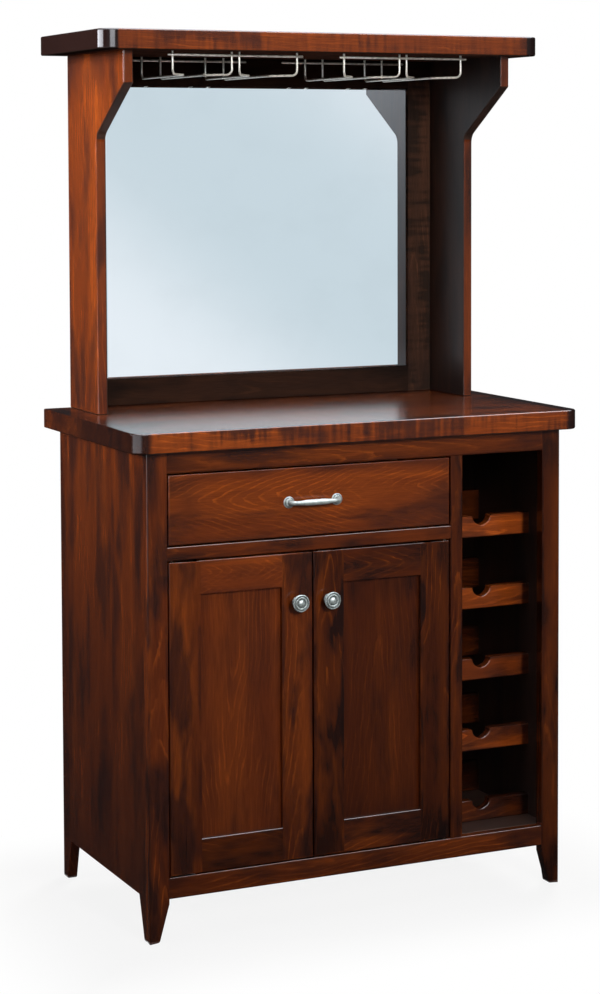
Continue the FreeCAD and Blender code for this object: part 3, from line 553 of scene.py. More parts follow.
# Name, lowest roughness, how far scratches raise it, and share of metal
PLATING = {
    "wire": ("Rack wire", 0.26, 0.16, 0.6),
    "zinc": ("Zinc plate", 0.26, 0.24, 1.0),
    "brass": ("Hinge brass", 0.22, 0.22, 1.0),
}
PEWTER_METALLIC = 0.62
PEWTER_AGE = 0.40
PEWTER_ROUGH = (0.0, 1.0, 0.50, 0.68)
PEWTER_BUMP = (0.10, 0.1 * MM)
MIRROR_CLOUDS = (7.0, 7.0, 9.0)
MIRROR_STEP = (0.40, 0.75)
CLOUDED = 0.975
DARK_BACK_AND_PAINTED_REFLECTION = 0.12
PLASTIC_SKIN = (2400.0, 2400.0, 2400.0)
PLASTIC_TONES = ((0.060, 0.034, 0.024, 1.0), (0.095, 0.056, 0.038, 1.0))
PLASTIC_ROUGH = (0.3, 0.7, 0.42, 0.58)
PLASTIC_BUMP = (0.3, 0.1 * MM)


def metal_wear():
    """Node group: blotches and fine scratches that break up a metal surface, from two noises."""
    group, given, result = new_group("Metal wear", {"Place": "NodeSocketVector"}, ["Blotch", "Scratch"])
    blotch = stretched_noise(group, given.outputs["Place"], BLOTCHES, 3.0)
    scratch = stretched_noise(group, given.outputs["Place"], SCRATCHES, 2.0)
    group.links.new(eased_range(group, blotch, *BLOTCH_STEP), result.inputs["Blotch"])
    group.links.new(scratch, result.inputs["Scratch"])
    return group


def worn(tree):
    """What the wear group puts out on a surface."""
    place = {"Place": object_place(tree)}
    return add_node(tree, "Group", place, node_tree=shared("wear", metal_wear)).outputs


def plated_material(metal, key):
    """A plated metal whose roughness and tone follow the wear group."""
    label, rough, spread, metallic = PLATING[key]
    material, tree, surface = new_material(label, Metallic=metallic)
    times, plus, _, _ = sums(tree)
    wear = worn(tree)
    color = getattr(metal, key)
    tone = color_mix(tree, wear["Blotch"], opaque(color), opaque(color, WORN))
    tree.links.new(tone, surface["Base Color"])
    tree.links.new(plus(times(wear["Scratch"], spread), rough), surface["Roughness"])
    return material


def pewter_material(metal):
    """Antique pewter: dark in the grooves that the mesh marks, rubbed bright on the high spots."""
    material, tree, surface = new_material("Antique pewter", Metallic=PEWTER_METALLIC)
    times, plus, _, _ = sums(tree)
    wear = worn(tree)
    aged = plus(attribute(tree, "groove", "Fac"), times(wear["Blotch"], PEWTER_AGE), clamp=True)
    tone = color_mix(tree, aged, opaque(metal.pewter), opaque(metal.patina))
    rough = eased_range(tree, aged, *PEWTER_ROUGH)
    feed_surface(tree, surface, tone, rough, wear["Scratch"], *PEWTER_BUMP)
    return material


def mirror_material(metal):
    """Silvered glass whose tint clouds a little, dark on the back where there is no silvering, and with a
    strip of the bevel painted dark for its darker reflection.
    """
    material, tree, surface = new_material("Silvered mirror", Metallic=1.0, Roughness=0.0)
    cloud = eased_range(tree, stretched_noise(tree, object_place(tree), MIRROR_CLOUDS, 3.0), *MIRROR_STEP)
    tint = color_mix(tree, cloud, opaque(metal.silver), opaque(metal.silver, CLOUDED))
    # The rim value paints the bevel's dark strip, a painted darker reflection, and darkens the back, which
    # has no silvering.
    dark_back_and_painted_reflection = color_mix(tree, attribute(tree, "rim", "Fac"), tint, opaque(metal.silver, DARK_BACK_AND_PAINTED_REFLECTION))
    tree.links.new(dark_back_and_painted_reflection, surface["Base Color"])
    return material


def plastic_material():
    """Brown moulded plastic with a fine spark-eroded skin."""
    material, tree, surface = new_material("Catch plastic", Specular_IOR_Level=0.4)
    skin = stretched_noise(tree, object_place(tree), PLASTIC_SKIN, 2.0)
    rough = eased_range(tree, skin, *PLASTIC_ROUGH)
    feed_surface(tree, surface, color_mix(tree, skin, *PLASTIC_TONES), rough, skin, *PLASTIC_BUMP)
    return material


# Boards
WELD = 2e-6
FIT = 5e-5
FLAT = math.radians(0.4)
SHORT_EDGE = 1.2 * MM
EASING_STEPS = 4
SEED_STEP = 0.618
FACING = 0.5
LEANING = 0.3
LEVEL = 0.9
AXES = {"X": 0, "Y": 1, "Z": 2}
# A board's tone is its brightness in stops. Besides real differences in stain, the tones paint light and
# shade: lit boards such as the slabs and the upper front bottle rails are painted lighter, and boards in
# shade, such as the right-hand frame and door boards, the top rail under the counter, the rear bottle rails
# and the mirror frame, are painted darker.
Board = namedtuple("Board", "grain tone figure blotch ends curl stave pith tilt joined square ease",
                   defaults=(0.0, 1.0, 1.0, 0.0, 0.0, 10.0, 0.012, 0.09, False, (), 1.0))
Group = namedtuple("Group", "seed easing finishes boards choose", defaults=(None,))


def eased_mesh(name, board, easing, seed):
    """A copy of a board with its sharp outer edges rounded; ends and sides that meet another board stay
    square, and so do the rims of small holes."""
    shape = bmesh.new()
    shape.from_mesh(frame["nodes"][name].data)
    bmesh.ops.remove_doubles(shape, verts=shape.verts, dist=WELD)
    bmesh.ops.dissolve_limit(shape, angle_limit=FLAT, verts=shape.verts, edges=shape.edges)
    low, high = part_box(name)
    grain = AXES[board.grain]
    planes = [(AXES[axis], (high if sign == "+" else low)[AXES[axis]]) for sign, axis in board.square]

    def eased(edge):
        if len(edge.link_faces) != 2 or not edge.is_convex or edge.calc_face_angle() < SHARP:
            return False
        start, end = edge.verts[0].co, edge.verts[1].co
        if (end - start).length < SHORT_EDGE:
            return False
        if any(abs(start[axis] - level) < FIT and abs(end[axis] - level) < FIT for axis, level in planes):
            return False
        return not board.joined or abs(end[grain] - start[grain]) > WELD

    if easing > 0:
        bmesh.ops.bevel(shape, geom=[edge for edge in shape.edges if eased(edge)], offset=easing,
                        offset_type="OFFSET", segments=EASING_STEPS, profile=0.5, affect="EDGES",
                        clamp_overlap=False)
        bmesh.ops.remove_doubles(shape, verts=shape.verts, dist=WELD)
    points = np.array([vertex.co for vertex in shape.verts])
    shape.verts.index_update()
    faces = [[vertex.index for vertex in face.verts] for face in shape.faces]
    shape.free()
    return smooth_mesh(name, points, faces, board_values(points, board, seed)), points.mean(0)


def board_values(points, board, seed):
    """The board's own coordinates at its points: metres along, across and through the grain, the same as
    shares of half its size, and the values that set its figure and its place in the log."""
    low, high = points.min(0), points.max(0)
    size = high - low
    along = AXES[board.grain]
    rest = [axis for axis in range(3) if axis != along]
    order = [along, *sorted(rest, key=lambda axis: -size[axis])]
    local = (points - (low + high) / 2)[:, order]
    rows = ((seed, board.tone, board.curl), (board.stave, board.pith, board.tilt),
            (board.figure, board.blotch, board.ends))
    values = [local, local / (size[order] / 2), *(np.broadcast_to(row, local.shape) for row in rows)]
    return {label.lower(): value for label, value in zip(BOARD_VALUES, values)}


def dress_boards(context, *groups):
    """Make the eased copy of each board, with its finish, its grain and the body that it rides on. In a
    group with several finishes, choose gives each face its finish from the face normals."""
    stain = context.scene.cabinet_stain
    for group in groups:
        finishes = [shared(key, maple_material, FINISHES[key], stain) for key in group.finishes]
        for count, (name, board) in enumerate(group.boards.items()):
            easing = getattr(stain, group.easing) * board.ease
            mesh, centre = eased_mesh(name, board, easing, group.seed + count * SEED_STEP)
            for finish in finishes:
                mesh.materials.append(finish)
            if group.choose:
                normals = np.zeros(len(mesh.polygons) * 3)
                mesh.polygons.foreach_get("normal", normals)
                chosen = group.choose(centre, normals.reshape(-1, 3))
                mesh.polygons.foreach_set("material_index", chosen.astype(np.int32))
            piece = new_object(name + "_dressed", mesh)
            piece.modifiers.new("Even shading", "WEIGHTED_NORMAL").keep_sharp = True
            place_piece(piece, name)


def side_finish(centre, normals):
    """The inner finish on the faces of a side that look inwards or down: inwards it is the darker inner
    stain, which on the hutch sides also paints their shade, and on faces that look down it paints shade.
    """
    return (normals[:, 0] * np.sign(centre[0]) < -FACING) | (normals[:, 2] < -LEANING)


def back_finish(centre, normals):
    """The inner finish on the faces of a board at the back that don't look backwards; on the mirror frame's
    front this dark, matt finish paints the shade under the hutch top.
    """
    return normals[:, 1] < FACING


def slab_finish(centre, normals):
    """The inner finish below a slab, a dark stain that paints the shade under it, and the polished finish on
    top.
    """
    return np.where(normals[:, 2] < -FACING, 1, np.where(normals[:, 2] > LEVEL, 2, 0))


SIDE_BOARDS = Group(1.0, "easing", ("stained", "satin"), {
    "left_side_panel": Board("Z", 0.15, 0.42, 0.8, stave=0.119, tilt=0.05, square=("-Y",)),
    "right_side_panel": Board("Z", 0.15, 0.42, 0.8, stave=0.119, tilt=0.05, square=("-Y",)),
}, side_finish)
# The low tones of the right face stile and the mullion paint the shade towards the right of the cabinet; the
# top rail's low tone paints the shade under the counter.
FRAME_BOARDS = Group(11.0, "easing", ("stained",), {
    "left_face_stile": Board("Z", 0.22, 1.2, 1.2, square=("+X", "+Y"), ease=1.5),
    "right_face_stile": Board("Z", -1.15, 1.2, 1.3, square=("-X", "+Y"), ease=1.5),
    "face_mullion": Board("Z", -0.75, 1.2, 1.3, joined=True, square=("-X",)),
    "face_top_rail": Board("X", -0.60, joined=True),
    "face_drawer_rail": Board("X", -0.15, 1.1, 1.2, joined=True),
    "face_bottom_rail": Board("X", 0.05, joined=True),
})
# The slabs' raised tones paint the light on their front edges.
SLABS = Group(24.3, "easing", ("stained", "inner", "polished"), {
    "counter_top": Board("X", 0.46, 0.9, 1.0, ends=0.92, curl=0.40, stave=0.105, tilt=0.04),
    "hutch_top": Board("X", 0.50, 0.5, 0.8, ends=2.0, curl=0.40, stave=0.105, tilt=0.04),
}, slab_finish)
INNER_BOARDS = Group(31.0, "inner_easing", ("satin",), {
    "case_floor": Board("X", 0.1, stave=0.11),
    "case_partition": Board("Z", 0.0, stave=0.11),
    "top_stretchers": Board("X", 0.3),
    "drawer_stretcher": Board("X", 0.3),
    "slide_spacer": Board("Y", 0.3),
    "shelf": Board("X", 0.3, stave=0.11),
})
BACK_BOARDS = Group(37.0, "inner_easing", ("stained", "satin"), {
    "case_back_panel": Board("Z", 0.1, 0.4, 0.9, stave=0.20),
    "mirror_backing": Board("Z", 0.1, 0.4, 0.9, stave=0.21),
}, back_finish)
# Tones paint the bay's light and shade: the upper front rails are painted lighter where lit, and the lowest
# rail and the rear rails, deep in the bay, darker.
BOTTLE_RAILS = Group(41.0, "easing", ("stained",), {
    "front_bottle_rail_1": Board("X", -0.20, joined=True),
    **{"front_bottle_rail_%d" % count: Board("X", 0.45, joined=True) for count in range(2, 6)},
    "rear_bottle_rails": Board("X", -2.0, joined=True),
})
DRAWER_FACE = Group(51.0, "easing", ("stained",), {
    "drawer_front": Board("X", 0.30, 0.8, 0.8, tilt=-0.33, pith=0.004),
})
DRAWER_BOX = Group(54.0, "inner_easing", ("clear",), {
    "drawer_left_side": Board("Y"),
    "drawer_right_side": Board("Y"),
    "drawer_back": Board("X"),
    "drawer_bottom": Board("X", stave=0.12),
})
LEFT_DOOR = Group(61.0, "easing", ("stained",), {
    "left_door_hinge_stile": Board("Z", -0.05, 1.3, 1.3, square=("+X",)),
    "left_door_lock_stile": Board("Z", -0.20, 1.3, 1.3, square=("-X",)),
    "left_door_top_rail": Board("X", 0.40, 0.9, 0.6, tilt=0.40, pith=0.004, joined=True),
    "left_door_bottom_rail": Board("X", -1.05, tilt=0.30, pith=0.006, joined=True),
    "left_door_panel": Board("Z", -0.12, 0.70, 0.45, tilt=-0.08, pith=0.006, ease=0.0),
})
# The right door's low tones paint the shade towards the right of the cabinet.
RIGHT_DOOR = Group(71.0, "easing", ("stained",), {
    "right_door_hinge_stile": Board("Z", -1.0, 1.3, 1.4, square=("-X",)),
    "right_door_lock_stile": Board("Z", -1.0, 1.3, 1.4, square=("+X",)),
    "right_door_top_rail": Board("X", -0.65, tilt=0.30, pith=0.006, joined=True),
    "right_door_bottom_rail": Board("X", -0.25, tilt=0.30, pith=0.006, joined=True),
    "right_door_panel": Board("Z", -0.92, 0.45, 0.6, tilt=0.10, ease=0.0),
})
HUTCH_SIDES = Group(81.0, "easing", ("stained", "satin"), {
    "hutch_left_side": Board("Z", 0.30, 0.55, 0.8, stave=0.12, tilt=0.05),
    "hutch_right_side": Board("Z", 0.05, 0.8, stave=0.12, tilt=0.05),
}, side_finish)
# The mirror frame's front faces take the dark, matt inner finish and low tones, painted shade under the hutch
# top.
MIRROR_FRAME = Group(84.0, "easing", ("stained", "inner"), {
    "mirror_left_stile": Board("Z", -0.40, square=("+X",)),
    "mirror_right_stile": Board("Z", -0.25, 1.3, 1.2, curl=0.5, square=("-X",)),
    "mirror_top_rail": Board("X", -0.60, joined=True),
    "mirror_bottom_rail": Board("X", -0.85, joined=True),
}, back_finish)


class CABINET_OT_case(bpy.types.Operator):
    """Dress the sides, face frame, slabs and inner boards of the case"""
    bl_idname = "cabinet.case"
    bl_label = "Case boards"

    def execute(self, context):
        dress_boards(context, SIDE_BOARDS, FRAME_BOARDS, SLABS, INNER_BOARDS, BACK_BOARDS)
        return {"FINISHED"}


class CABINET_OT_bottle_rails(bpy.types.Operator):
    """Dress the notched rails of the open bay"""
    bl_idname = "cabinet.bottle_rails"
    bl_label = "Bottle rails"

    def execute(self, context):
        dress_boards(context, BOTTLE_RAILS)
        return {"FINISHED"}


class CABINET_OT_drawer(bpy.types.Operator):
    """Dress the drawer front and the drawer box"""
    bl_idname = "cabinet.drawer"
    bl_label = "Drawer"

    def execute(self, context):
        dress_boards(context, DRAWER_FACE, DRAWER_BOX)
        return {"FINISHED"}


class CABINET_OT_doors(bpy.types.Operator):
    """Dress the stiles, rails and panels of both doors"""
    bl_idname = "cabinet.doors"
    bl_label = "Doors"

    def execute(self, context):
        dress_boards(context, LEFT_DOOR, RIGHT_DOOR)
        return {"FINISHED"}


class CABINET_OT_hutch(bpy.types.Operator):
    """Dress the hutch sides and the mirror frame"""
    bl_idname = "cabinet.hutch"
    bl_label = "Hutch boards"

    def execute(self, context):
        dress_boards(context, HUTCH_SIDES, MIRROR_FRAME)
        return {"FINISHED"}


# Hardware
KNOB_RUNS = (
    (((0.64, 0.0), (0.64, 0.06)), 0.35),
    (((0.64, 0.06), (0.60, 0.13), (0.50, 0.15)), 0.50),
    (((0.50, 0.15), (0.34, 0.36), (0.52, 0.58)), 0.85),
    (((0.52, 0.58), (0.92, 0.68)), 0.70),
    (((0.92, 0.68), (1.0, 0.78), (0.90, 0.88)), 0.15),
    (((0.90, 0.88), (0.83, 0.82), (0.74, 0.83)), 0.95),
    (((0.74, 0.83), (0.65, 0.89), (0.56, 0.84)), 0.20),
    (((0.56, 0.84), (0.48, 0.79), (0.40, 0.83)), 0.95),
    (((0.40, 0.83), (0.215, 0.957), (0.0, 1.0)), 0.05),
)
KNOB_RUN_POINTS = 9
KNOB_PROJECTION = 22.0 * MM
KNOB_AROUND = 96
GROOVE_BLUR = 2
SCREW_RADIUS = 2.1 * MM
SCREW_HEAD_RADIUS = 4.2 * MM
SCREW_HEAD_RISE = 2.6 * MM
SCREW_SHOULDER = 0.72
SCREW_CROWN = 0.25
SCREW_POINTS = 8
SCREW_GROOVE = 0.3
BOARD_THICKNESS = 20.0 * MM
PULL_PROJECTION = 18.0 * MM
PULL_BEND = 12.0 * MM
PULL_NECK_RADIUS = 4.0 * MM
PULL_BAR_RADIUS = 5.3 * MM
PULL_TAPER = 22.0 * MM
PULL_STEP = 2 * MM
PULL_AROUND = 40
FOOT_PATINA = 5 * MM
FOOT_FADE = 4 * MM
BEND_PATINA = 0.35
BEND_SPREAD = 10 * MM
PATINA_LIMITS = (0.05, 0.95)
ROSETTE_RADIUS = 10.5 * MM
# Share of the radius, height in millimetres, and depth in the patina
ROSETTE = ((1.0, 0.0, 0.3), (1.0, 1.7, 0.2), (0.97, 2.25, 0.1), (0.91, 2.6, 0.2), (0.80, 2.7, 0.95),
           (0.745, 3.1, 0.9), (0.715, 4.2, 0.3), (0.67, 4.75, 0.15), (0.58, 5.0, 0.35), (0.30, 5.0, 0.8),
           (0.0, 5.0, 0.8))
ROSETTE_AROUND = 64
WIRE_RADIUS = 2.1 * MM
WIRE_AROUND = 16
DOME = ((0.0, 0.0), (0.72, 0.22), (1.0, 0.7))
DOME_POINTS = 6
WELD_REACH = 4.2 * MM
WELD_WIDTH = 1.15
WELD_POINTS = 9
WELD_SINK = 0.9 * MM
BAR_DROP = 7.0 * MM
RACK_MOUTH = 117.5 * MM
RACK_SLOT = 38.5 * MM
RACK_CHANNELS = 132.6 * MM
RACK_FLARE = 43.0 * MM
RACK_BENDS = (10.0 * MM, 24.0 * MM, 10.0 * MM)
RACK_STEP = 12 * MM
# Inset from the edge, fall behind the face, and whether the strip is dark: on the bevel a painted darker
# reflection, on the edge and back no silvering
MIRROR_STEPS = ((10.5 * MM, 0.0, 0.0), (7.5 * MM, 0.36 * MM, 0.0), (7.0 * MM, 0.40 * MM, 1.0),
                (3.8 * MM, 0.40 * MM, 1.0), (3.3 * MM, 0.44 * MM, 0.0), (0.0, 0.84 * MM, 0.0))


def screw_profile():
    """A pan head and its shank behind a board, as (radius, height) with heights below the board's face."""
    back = -BOARD_THICKNESS - SCREW_HEAD_RISE
    crown = SCREW_CROWN * SCREW_HEAD_RISE
    head = circle_run((0.0, back), (SCREW_SHOULDER * SCREW_HEAD_RADIUS, back + crown),
                      (SCREW_HEAD_RADIUS, -BOARD_THICKNESS - crown), SCREW_POINTS)
    rest = [(SCREW_HEAD_RADIUS, -BOARD_THICKNESS), (SCREW_RADIUS, -BOARD_THICKNESS), (SCREW_RADIUS, 0.0)]
    return np.concatenate([head, rest])


def smoothed(values, width):
    """Running mean of a row of values."""
    padded = np.pad(values, width, mode="edge")
    return np.convolve(padded, np.full(2 * width + 1, 1 / (2 * width + 1)), "valid")


def turned_piece(profile, groove, origin, around):
    """A turned piece and its groove values, one for each point."""
    rings = np.repeat(groove[1:-1], around)
    return turning(profile, origin, OUTWARD, around), np.concatenate([rings, groove[[0, -1]]])


def knob_profile(radius):
    """Profile of a knob on its screw, and how deep in the patina each point lies."""
    pieces = [screw_profile()]
    grooves = [np.full(len(pieces[0]), SCREW_GROOVE)]
    for count, (run, groove) in enumerate(KNOB_RUNS):
        make = np.linspace if len(run) == 2 else circle_run
        shares = make(*run, KNOB_RUN_POINTS)[min(count, 1):]
        pieces.append(shares * (radius, KNOB_PROJECTION))
        grooves.append(np.full(len(shares), groove))
    return np.concatenate(pieces), smoothed(np.concatenate(grooves), GROOVE_BLUR)


def rosette_profile():
    """A stepped rosette on its screw: rounded lower tier, cove, rounded upper tier."""
    screw = screw_profile()
    share, height, groove = np.array(ROSETTE).T
    outer = np.stack([share * ROSETTE_RADIUS, height * MM], axis=1)
    return np.concatenate([screw, outer]), np.concatenate([np.full(len(screw), SCREW_GROOVE), groove])


def domed_rod(start, end):
    """A straight wire with rounded ends, turned about its own line."""
    dome = circle_run(*DOME, DOME_POINTS) * WIRE_RADIUS
    profile = np.concatenate([dome, dome[::-1] * (1, -1) + (0, np.linalg.norm(end - start))])
    return turning(profile, start, end - start, WIRE_AROUND)


def weld_bead(centre):
    """A small bead of weld: an ellipse turned about a line through its middle."""
    angle = np.linspace(-math.pi / 2, math.pi / 2, WELD_POINTS)
    profile = np.stack([WELD_WIDTH * WIRE_RADIUS * np.cos(angle), WELD_REACH * np.sin(angle)], axis=1)
    return turning(profile, centre, SIDEWAYS, WIRE_AROUND)


class CABINET_OT_knobs(bpy.types.Operator):
    """Turn the two door knobs"""
    bl_idname = "cabinet.knobs"
    bl_label = "Door knobs"

    def execute(self, context):
        finish = shared("pewter", pewter_material, context.scene.cabinet_metal)
        for node in ("left_door_knob", "right_door_knob"):
            low, high = node_box(node)
            middle = (low + high) / 2
            origin = np.array((middle[0], low[1] + KNOB_PROJECTION, middle[2]))
            profile = knob_profile((high[0] - low[0]) / 2)
            surface, groove = turned_piece(*profile, origin, KNOB_AROUND)
            mesh = surface_mesh(node, [surface], finish, {"groove": groove})
            place_piece(new_object(node + "_turned", mesh), node)
        return {"FINISHED"}


class CABINET_OT_pull(bpy.types.Operator):
    """Bend the drawer pull and set it on its rosettes"""
    bl_idname = "cabinet.pull"
    bl_label = "Drawer pull"

    def execute(self, context):
        node = "drawer_pull"
        low, high = node_box(node)
        front = low[1] + PULL_PROJECTION + PULL_BAR_RADIUS
        level = (low[2] + high[2]) / 2
        feet = [np.array((x, front, level)) for x in (low[0] + ROSETTE_RADIUS, high[0] - ROSETTE_RADIUS)]
        tops = [foot + OUTWARD * PULL_PROJECTION for foot in feet]
        path, lengths = bent_path([feet[0], *tops, feet[1]], (PULL_BEND, PULL_BEND), PULL_STEP)
        from_end = np.minimum(lengths, lengths[-1] - lengths)
        neck_end = PULL_PROJECTION - PULL_BEND + PULL_BEND * math.pi / 2
        share = np.clip((from_end - neck_end) / PULL_TAPER, 0, 1)
        swell = share * share * (3 - 2 * share)
        radii = PULL_NECK_RADIUS + (PULL_BAR_RADIUS - PULL_NECK_RADIUS) * swell
        near_foot = np.clip(1 - (from_end - FOOT_PATINA) / FOOT_FADE, 0, 1)
        bend_wear = BEND_PATINA * np.exp(-((from_end - neck_end) / BEND_SPREAD) ** 2)
        surfaces = [tube(path, radii, UPWARD, PULL_AROUND)]
        grooves = [np.repeat(np.clip(near_foot + bend_wear, *PATINA_LIMITS), PULL_AROUND)]
        for foot in feet:
            surface, groove = turned_piece(*rosette_profile(), foot, ROSETTE_AROUND)
            surfaces.append(surface)
            grooves.append(groove)
        finish = shared("pewter", pewter_material, context.scene.cabinet_metal)
        mesh = surface_mesh(node, surfaces, finish, {"groove": np.concatenate(grooves)})
        place_piece(new_object(node + "_bent", mesh), node)
        return {"FINISHED"}


class CABINET_OT_racks(bpy.types.Operator):
    """Bend the wires of the stemware racks and weld them to their bars"""
    bl_idname = "cabinet.racks"
    bl_label = "Stemware racks"

    def execute(self, context):
        finish = plated_material(context.scene.cabinet_metal, "wire")
        bar_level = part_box("hutch_top")[0][2] - BAR_DROP
        weld = WIRE_RADIUS * 2 - WELD_SINK
        for node in ("left_stemware_rack", "right_stemware_rack"):
            low, high = node_box(node)
            level = low[2] + WIRE_RADIUS
            bars = (low[1] + WIRE_RADIUS, high[1] - WIRE_RADIUS)
            front, rear = bars[0] + weld, bars[1] - weld
            surfaces = [domed_rod(np.array((low[0], y, bar_level)), np.array((high[0], y, bar_level)))
                        for y in bars]
            for channel, side in ((-1, -1), (-1, 1), (1, -1), (1, 1)):
                centre = (low[0] + high[0]) / 2 + channel * RACK_CHANNELS / 2
                mouth = centre + side * RACK_MOUTH / 2
                slot = centre + side * RACK_SLOT / 2
                route = ((mouth, front, high[2]), (mouth, front, level), (slot, front + RACK_FLARE, level),
                         (slot, rear, level), (slot, rear, high[2]))
                path, _ = bent_path(route, RACK_BENDS, RACK_STEP)
                surfaces.append(tube(path, WIRE_RADIUS, SIDEWAYS, WIRE_AROUND))
                for x, wire, bar in ((mouth, front, bars[0]), (slot, rear, bars[1])):
                    surfaces.append(weld_bead(np.array((x, (wire + bar) / 2, bar_level))))
            place_piece(new_object(node + "_bent", surface_mesh(node, surfaces, finish, {})), node)
        return {"FINISHED"}


class CABINET_OT_mirror(bpy.types.Operator):
    """Make the mirror: a flat face, a ground rim in three strips and a back"""
    bl_idname = "cabinet.mirror"
    bl_label = "Mirror"

    def execute(self, context):
        node = "mirror_glass"
        low, high = node_box(node)
        corners = np.array(((0, 0), (1, 0), (1, 1), (0, 1)))
        rings, rims = [], []
        for inset, fall, rim in (*MIRROR_STEPS, (0.0, high[1] - low[1], 1.0)):
            inner_low = low[[0, 2]] + inset
            inner_high = high[[0, 2]] - inset
            across = inner_low + corners * (inner_high - inner_low)
            rings.append(np.stack([across[:, 0], np.full(4, low[1] + fall), across[:, 1]], axis=1))
            rims.append(np.full(4, rim))
        points = np.concatenate(rings)
        last = len(points) - 1
        faces = grid_faces(len(rings), 4)[:, ::-1].tolist()
        faces += [[0, 1, 2, 3], [last, last - 1, last - 2, last - 3]]
        finish = mirror_material(context.scene.cabinet_metal)
        mesh = surface_mesh(node, [(points, faces)], finish, {"rim": np.concatenate(rims)})
        mesh.polygons.foreach_set("use_smooth", np.zeros(len(faces), bool))
        place_piece(new_object(node + "_bevelled", mesh), node)
        return {"FINISHED"}


class CABINET_OT_fittings(bpy.types.Operator):
    """Finish the slides, hinges, pins, catches and screws"""
    bl_idname = "cabinet.fittings"
    bl_label = "Fittings"

    def execute(self, context):
        metal = context.scene.cabinet_metal
        finishes = {
            "zinc_steel": plated_material(metal, "zinc"),
            "hinge_brass": plated_material(metal, "brass"),
            "catch_plastic": plastic_material(),
        }
        for node, slot in NODE_SLOT.items():
            if slot in finishes:
                for place in frame["nodes"][node].material_slots:
                    place.material = finishes[slot]
        return {"FINISHED"}


# Stage
Lamp = namedtuple("Lamp", "name place aim width height power color spread glints")
LAMPS = (
    Lamp("Front lamp", (0.1, -4.2, 2.6), (0.0, -0.2, 1.35), 0.45, 1.5, 13.0, (1.0, 0.97, 0.93), 40.0, False),
    Lamp("Side lamp", (-2.7, 0.60, 2.10), (-0.42, 0.07, 1.62), 0.30, 1.5, 17.0, (1.0, 0.97, 0.93), 46.0,
         False),
    Lamp("Top lamp", (-0.2, -0.9, 3.7), (0.0, -0.3, 0.9), 1.0, 0.8, 9.0, (0.92, 0.95, 1.0), 150.0, True),
    Lamp("Back lamp", (2.7, 2.9, 2.3), (0.2, 0.1, 0.8), 1.2, 1.2, 70.0, (1.0, 0.98, 0.96), 110.0, False),
)
FLOOR_REACH = 14.0
FLOOR_RINGS = 24
FLOOR_AROUND = 96
FLOOR_FADE = (0.0, 0.30)
FLOOR_WHITE = 0.88
SURROUND_RADIUS = 9.0
SURROUND_HOLE = 0.02
SURROUND_LIFT = 0.004
SURROUND_AROUND = 64
GROUND_RINGS = 8
DOME_RINGS = 24
DOME_TOP = 89
SCRIM_FOLDS = (1.45, 1.69)
SCRIM_START = 4.35
SCRIM_BANDS = ((0.665, 0.750, 0.802, 1.0), (0.92, 0.950, 0.992, 1.0))
SCRIM_DIM = 0.36
SCRIM_RISE = (2.1, 3.4, 1.0, 3.2)
SCRIM_FRONT = (-3.5, -6.5)
WALL_REACH = (8.2, 8.95)
WALL_RISE = (0.2, 2.0)
TENT_DEPTH = (0.5, -2.5)
TENT_BACK = (0.026, 0.026, 0.028, 1.0)
TENT_GROUND = (0.075, 0.079, 0.090, 1.0)
Glow = namedtuple("Glow", "x y z strength")
GLOWS = (
    Glow((-9.0, 9.0), (-6.0, 2.6), (6.2, 9.5), 13.0),
    Glow((-9.5, -4.0), (-6.5, 2.0), (-0.5, 0.6), 3.2),
    Glow((-9.5, -5.5), (-1.2, 6.2), (1.7, 2.4), 24.0),
    Glow((-4.4, 0.8), (-9.5, -6.5), (1.8, 3.4), 13.0),
)
GLOW_EDGE = 0.35
GLOW_COLOR = (0.90, 0.93, 1.0, 1.0)


def add_camera(context, stage):
    """The camera, from its place and its three angles."""
    data = bpy.data.cameras.new("Camera")
    data.lens = stage.lens
    data.shift_y = stage.shift
    camera = new_object("Camera", data)
    turns = ((-stage.yaw, "Z"), (math.pi / 2 + stage.pitch, "X"), (stage.roll, "Z"))
    yaw, pitch, roll = (Matrix.Rotation(angle, 4, axis) for angle, axis in turns)
    camera.matrix_world = Matrix.Translation(stage.place) @ yaw @ pitch @ roll
    context.scene.camera = camera


def add_lamp(lamp):
    """A soft rectangular lamp that looks at a point."""
    data = bpy.data.lights.new(lamp.name, "AREA")
    data.shape = "RECTANGLE"
    data.size = lamp.width
    data.size_y = lamp.height
    data.energy = lamp.power
    data.color = lamp.color
    data.spread = math.radians(lamp.spread)
    made = new_object(lamp.name, data)
    made.visible_glossy = lamp.glints
    toward = Vector(lamp.aim) - Vector(lamp.place)
    made.matrix_world = Matrix.Translation(lamp.place) @ toward.to_track_quat("-Z", "Y").to_matrix().to_4x4()


def seen_directly(tree):
    """One for rays that show the background itself: from the camera, off gloss and through glass."""
    ray = add_node(tree, "LightPath").outputs
    seen = math_node(tree, "MAXIMUM", ray["Is Camera Ray"], ray["Is Glossy Ray"])
    return math_node(tree, "MAXIMUM", seen, ray["Is Transmission Ray"])


def ring_sheet(name, reach, height, around, faces, material):
    """A sheet of rings about the upright axis, where a point is (reach * sin a, -reach * cos a, height)."""
    angle = full_turn(around)
    rings = np.broadcast_arrays(reach[:, None] * np.sin(angle), -reach[:, None] * np.cos(angle),
                                height[:, None])
    mesh = bpy.data.meshes.new(name)
    mesh.from_pydata(np.stack(rings, axis=-1).reshape(-1, 3).tolist(), [], faces)
    mesh.materials.append(material)
    return new_object(name, mesh)


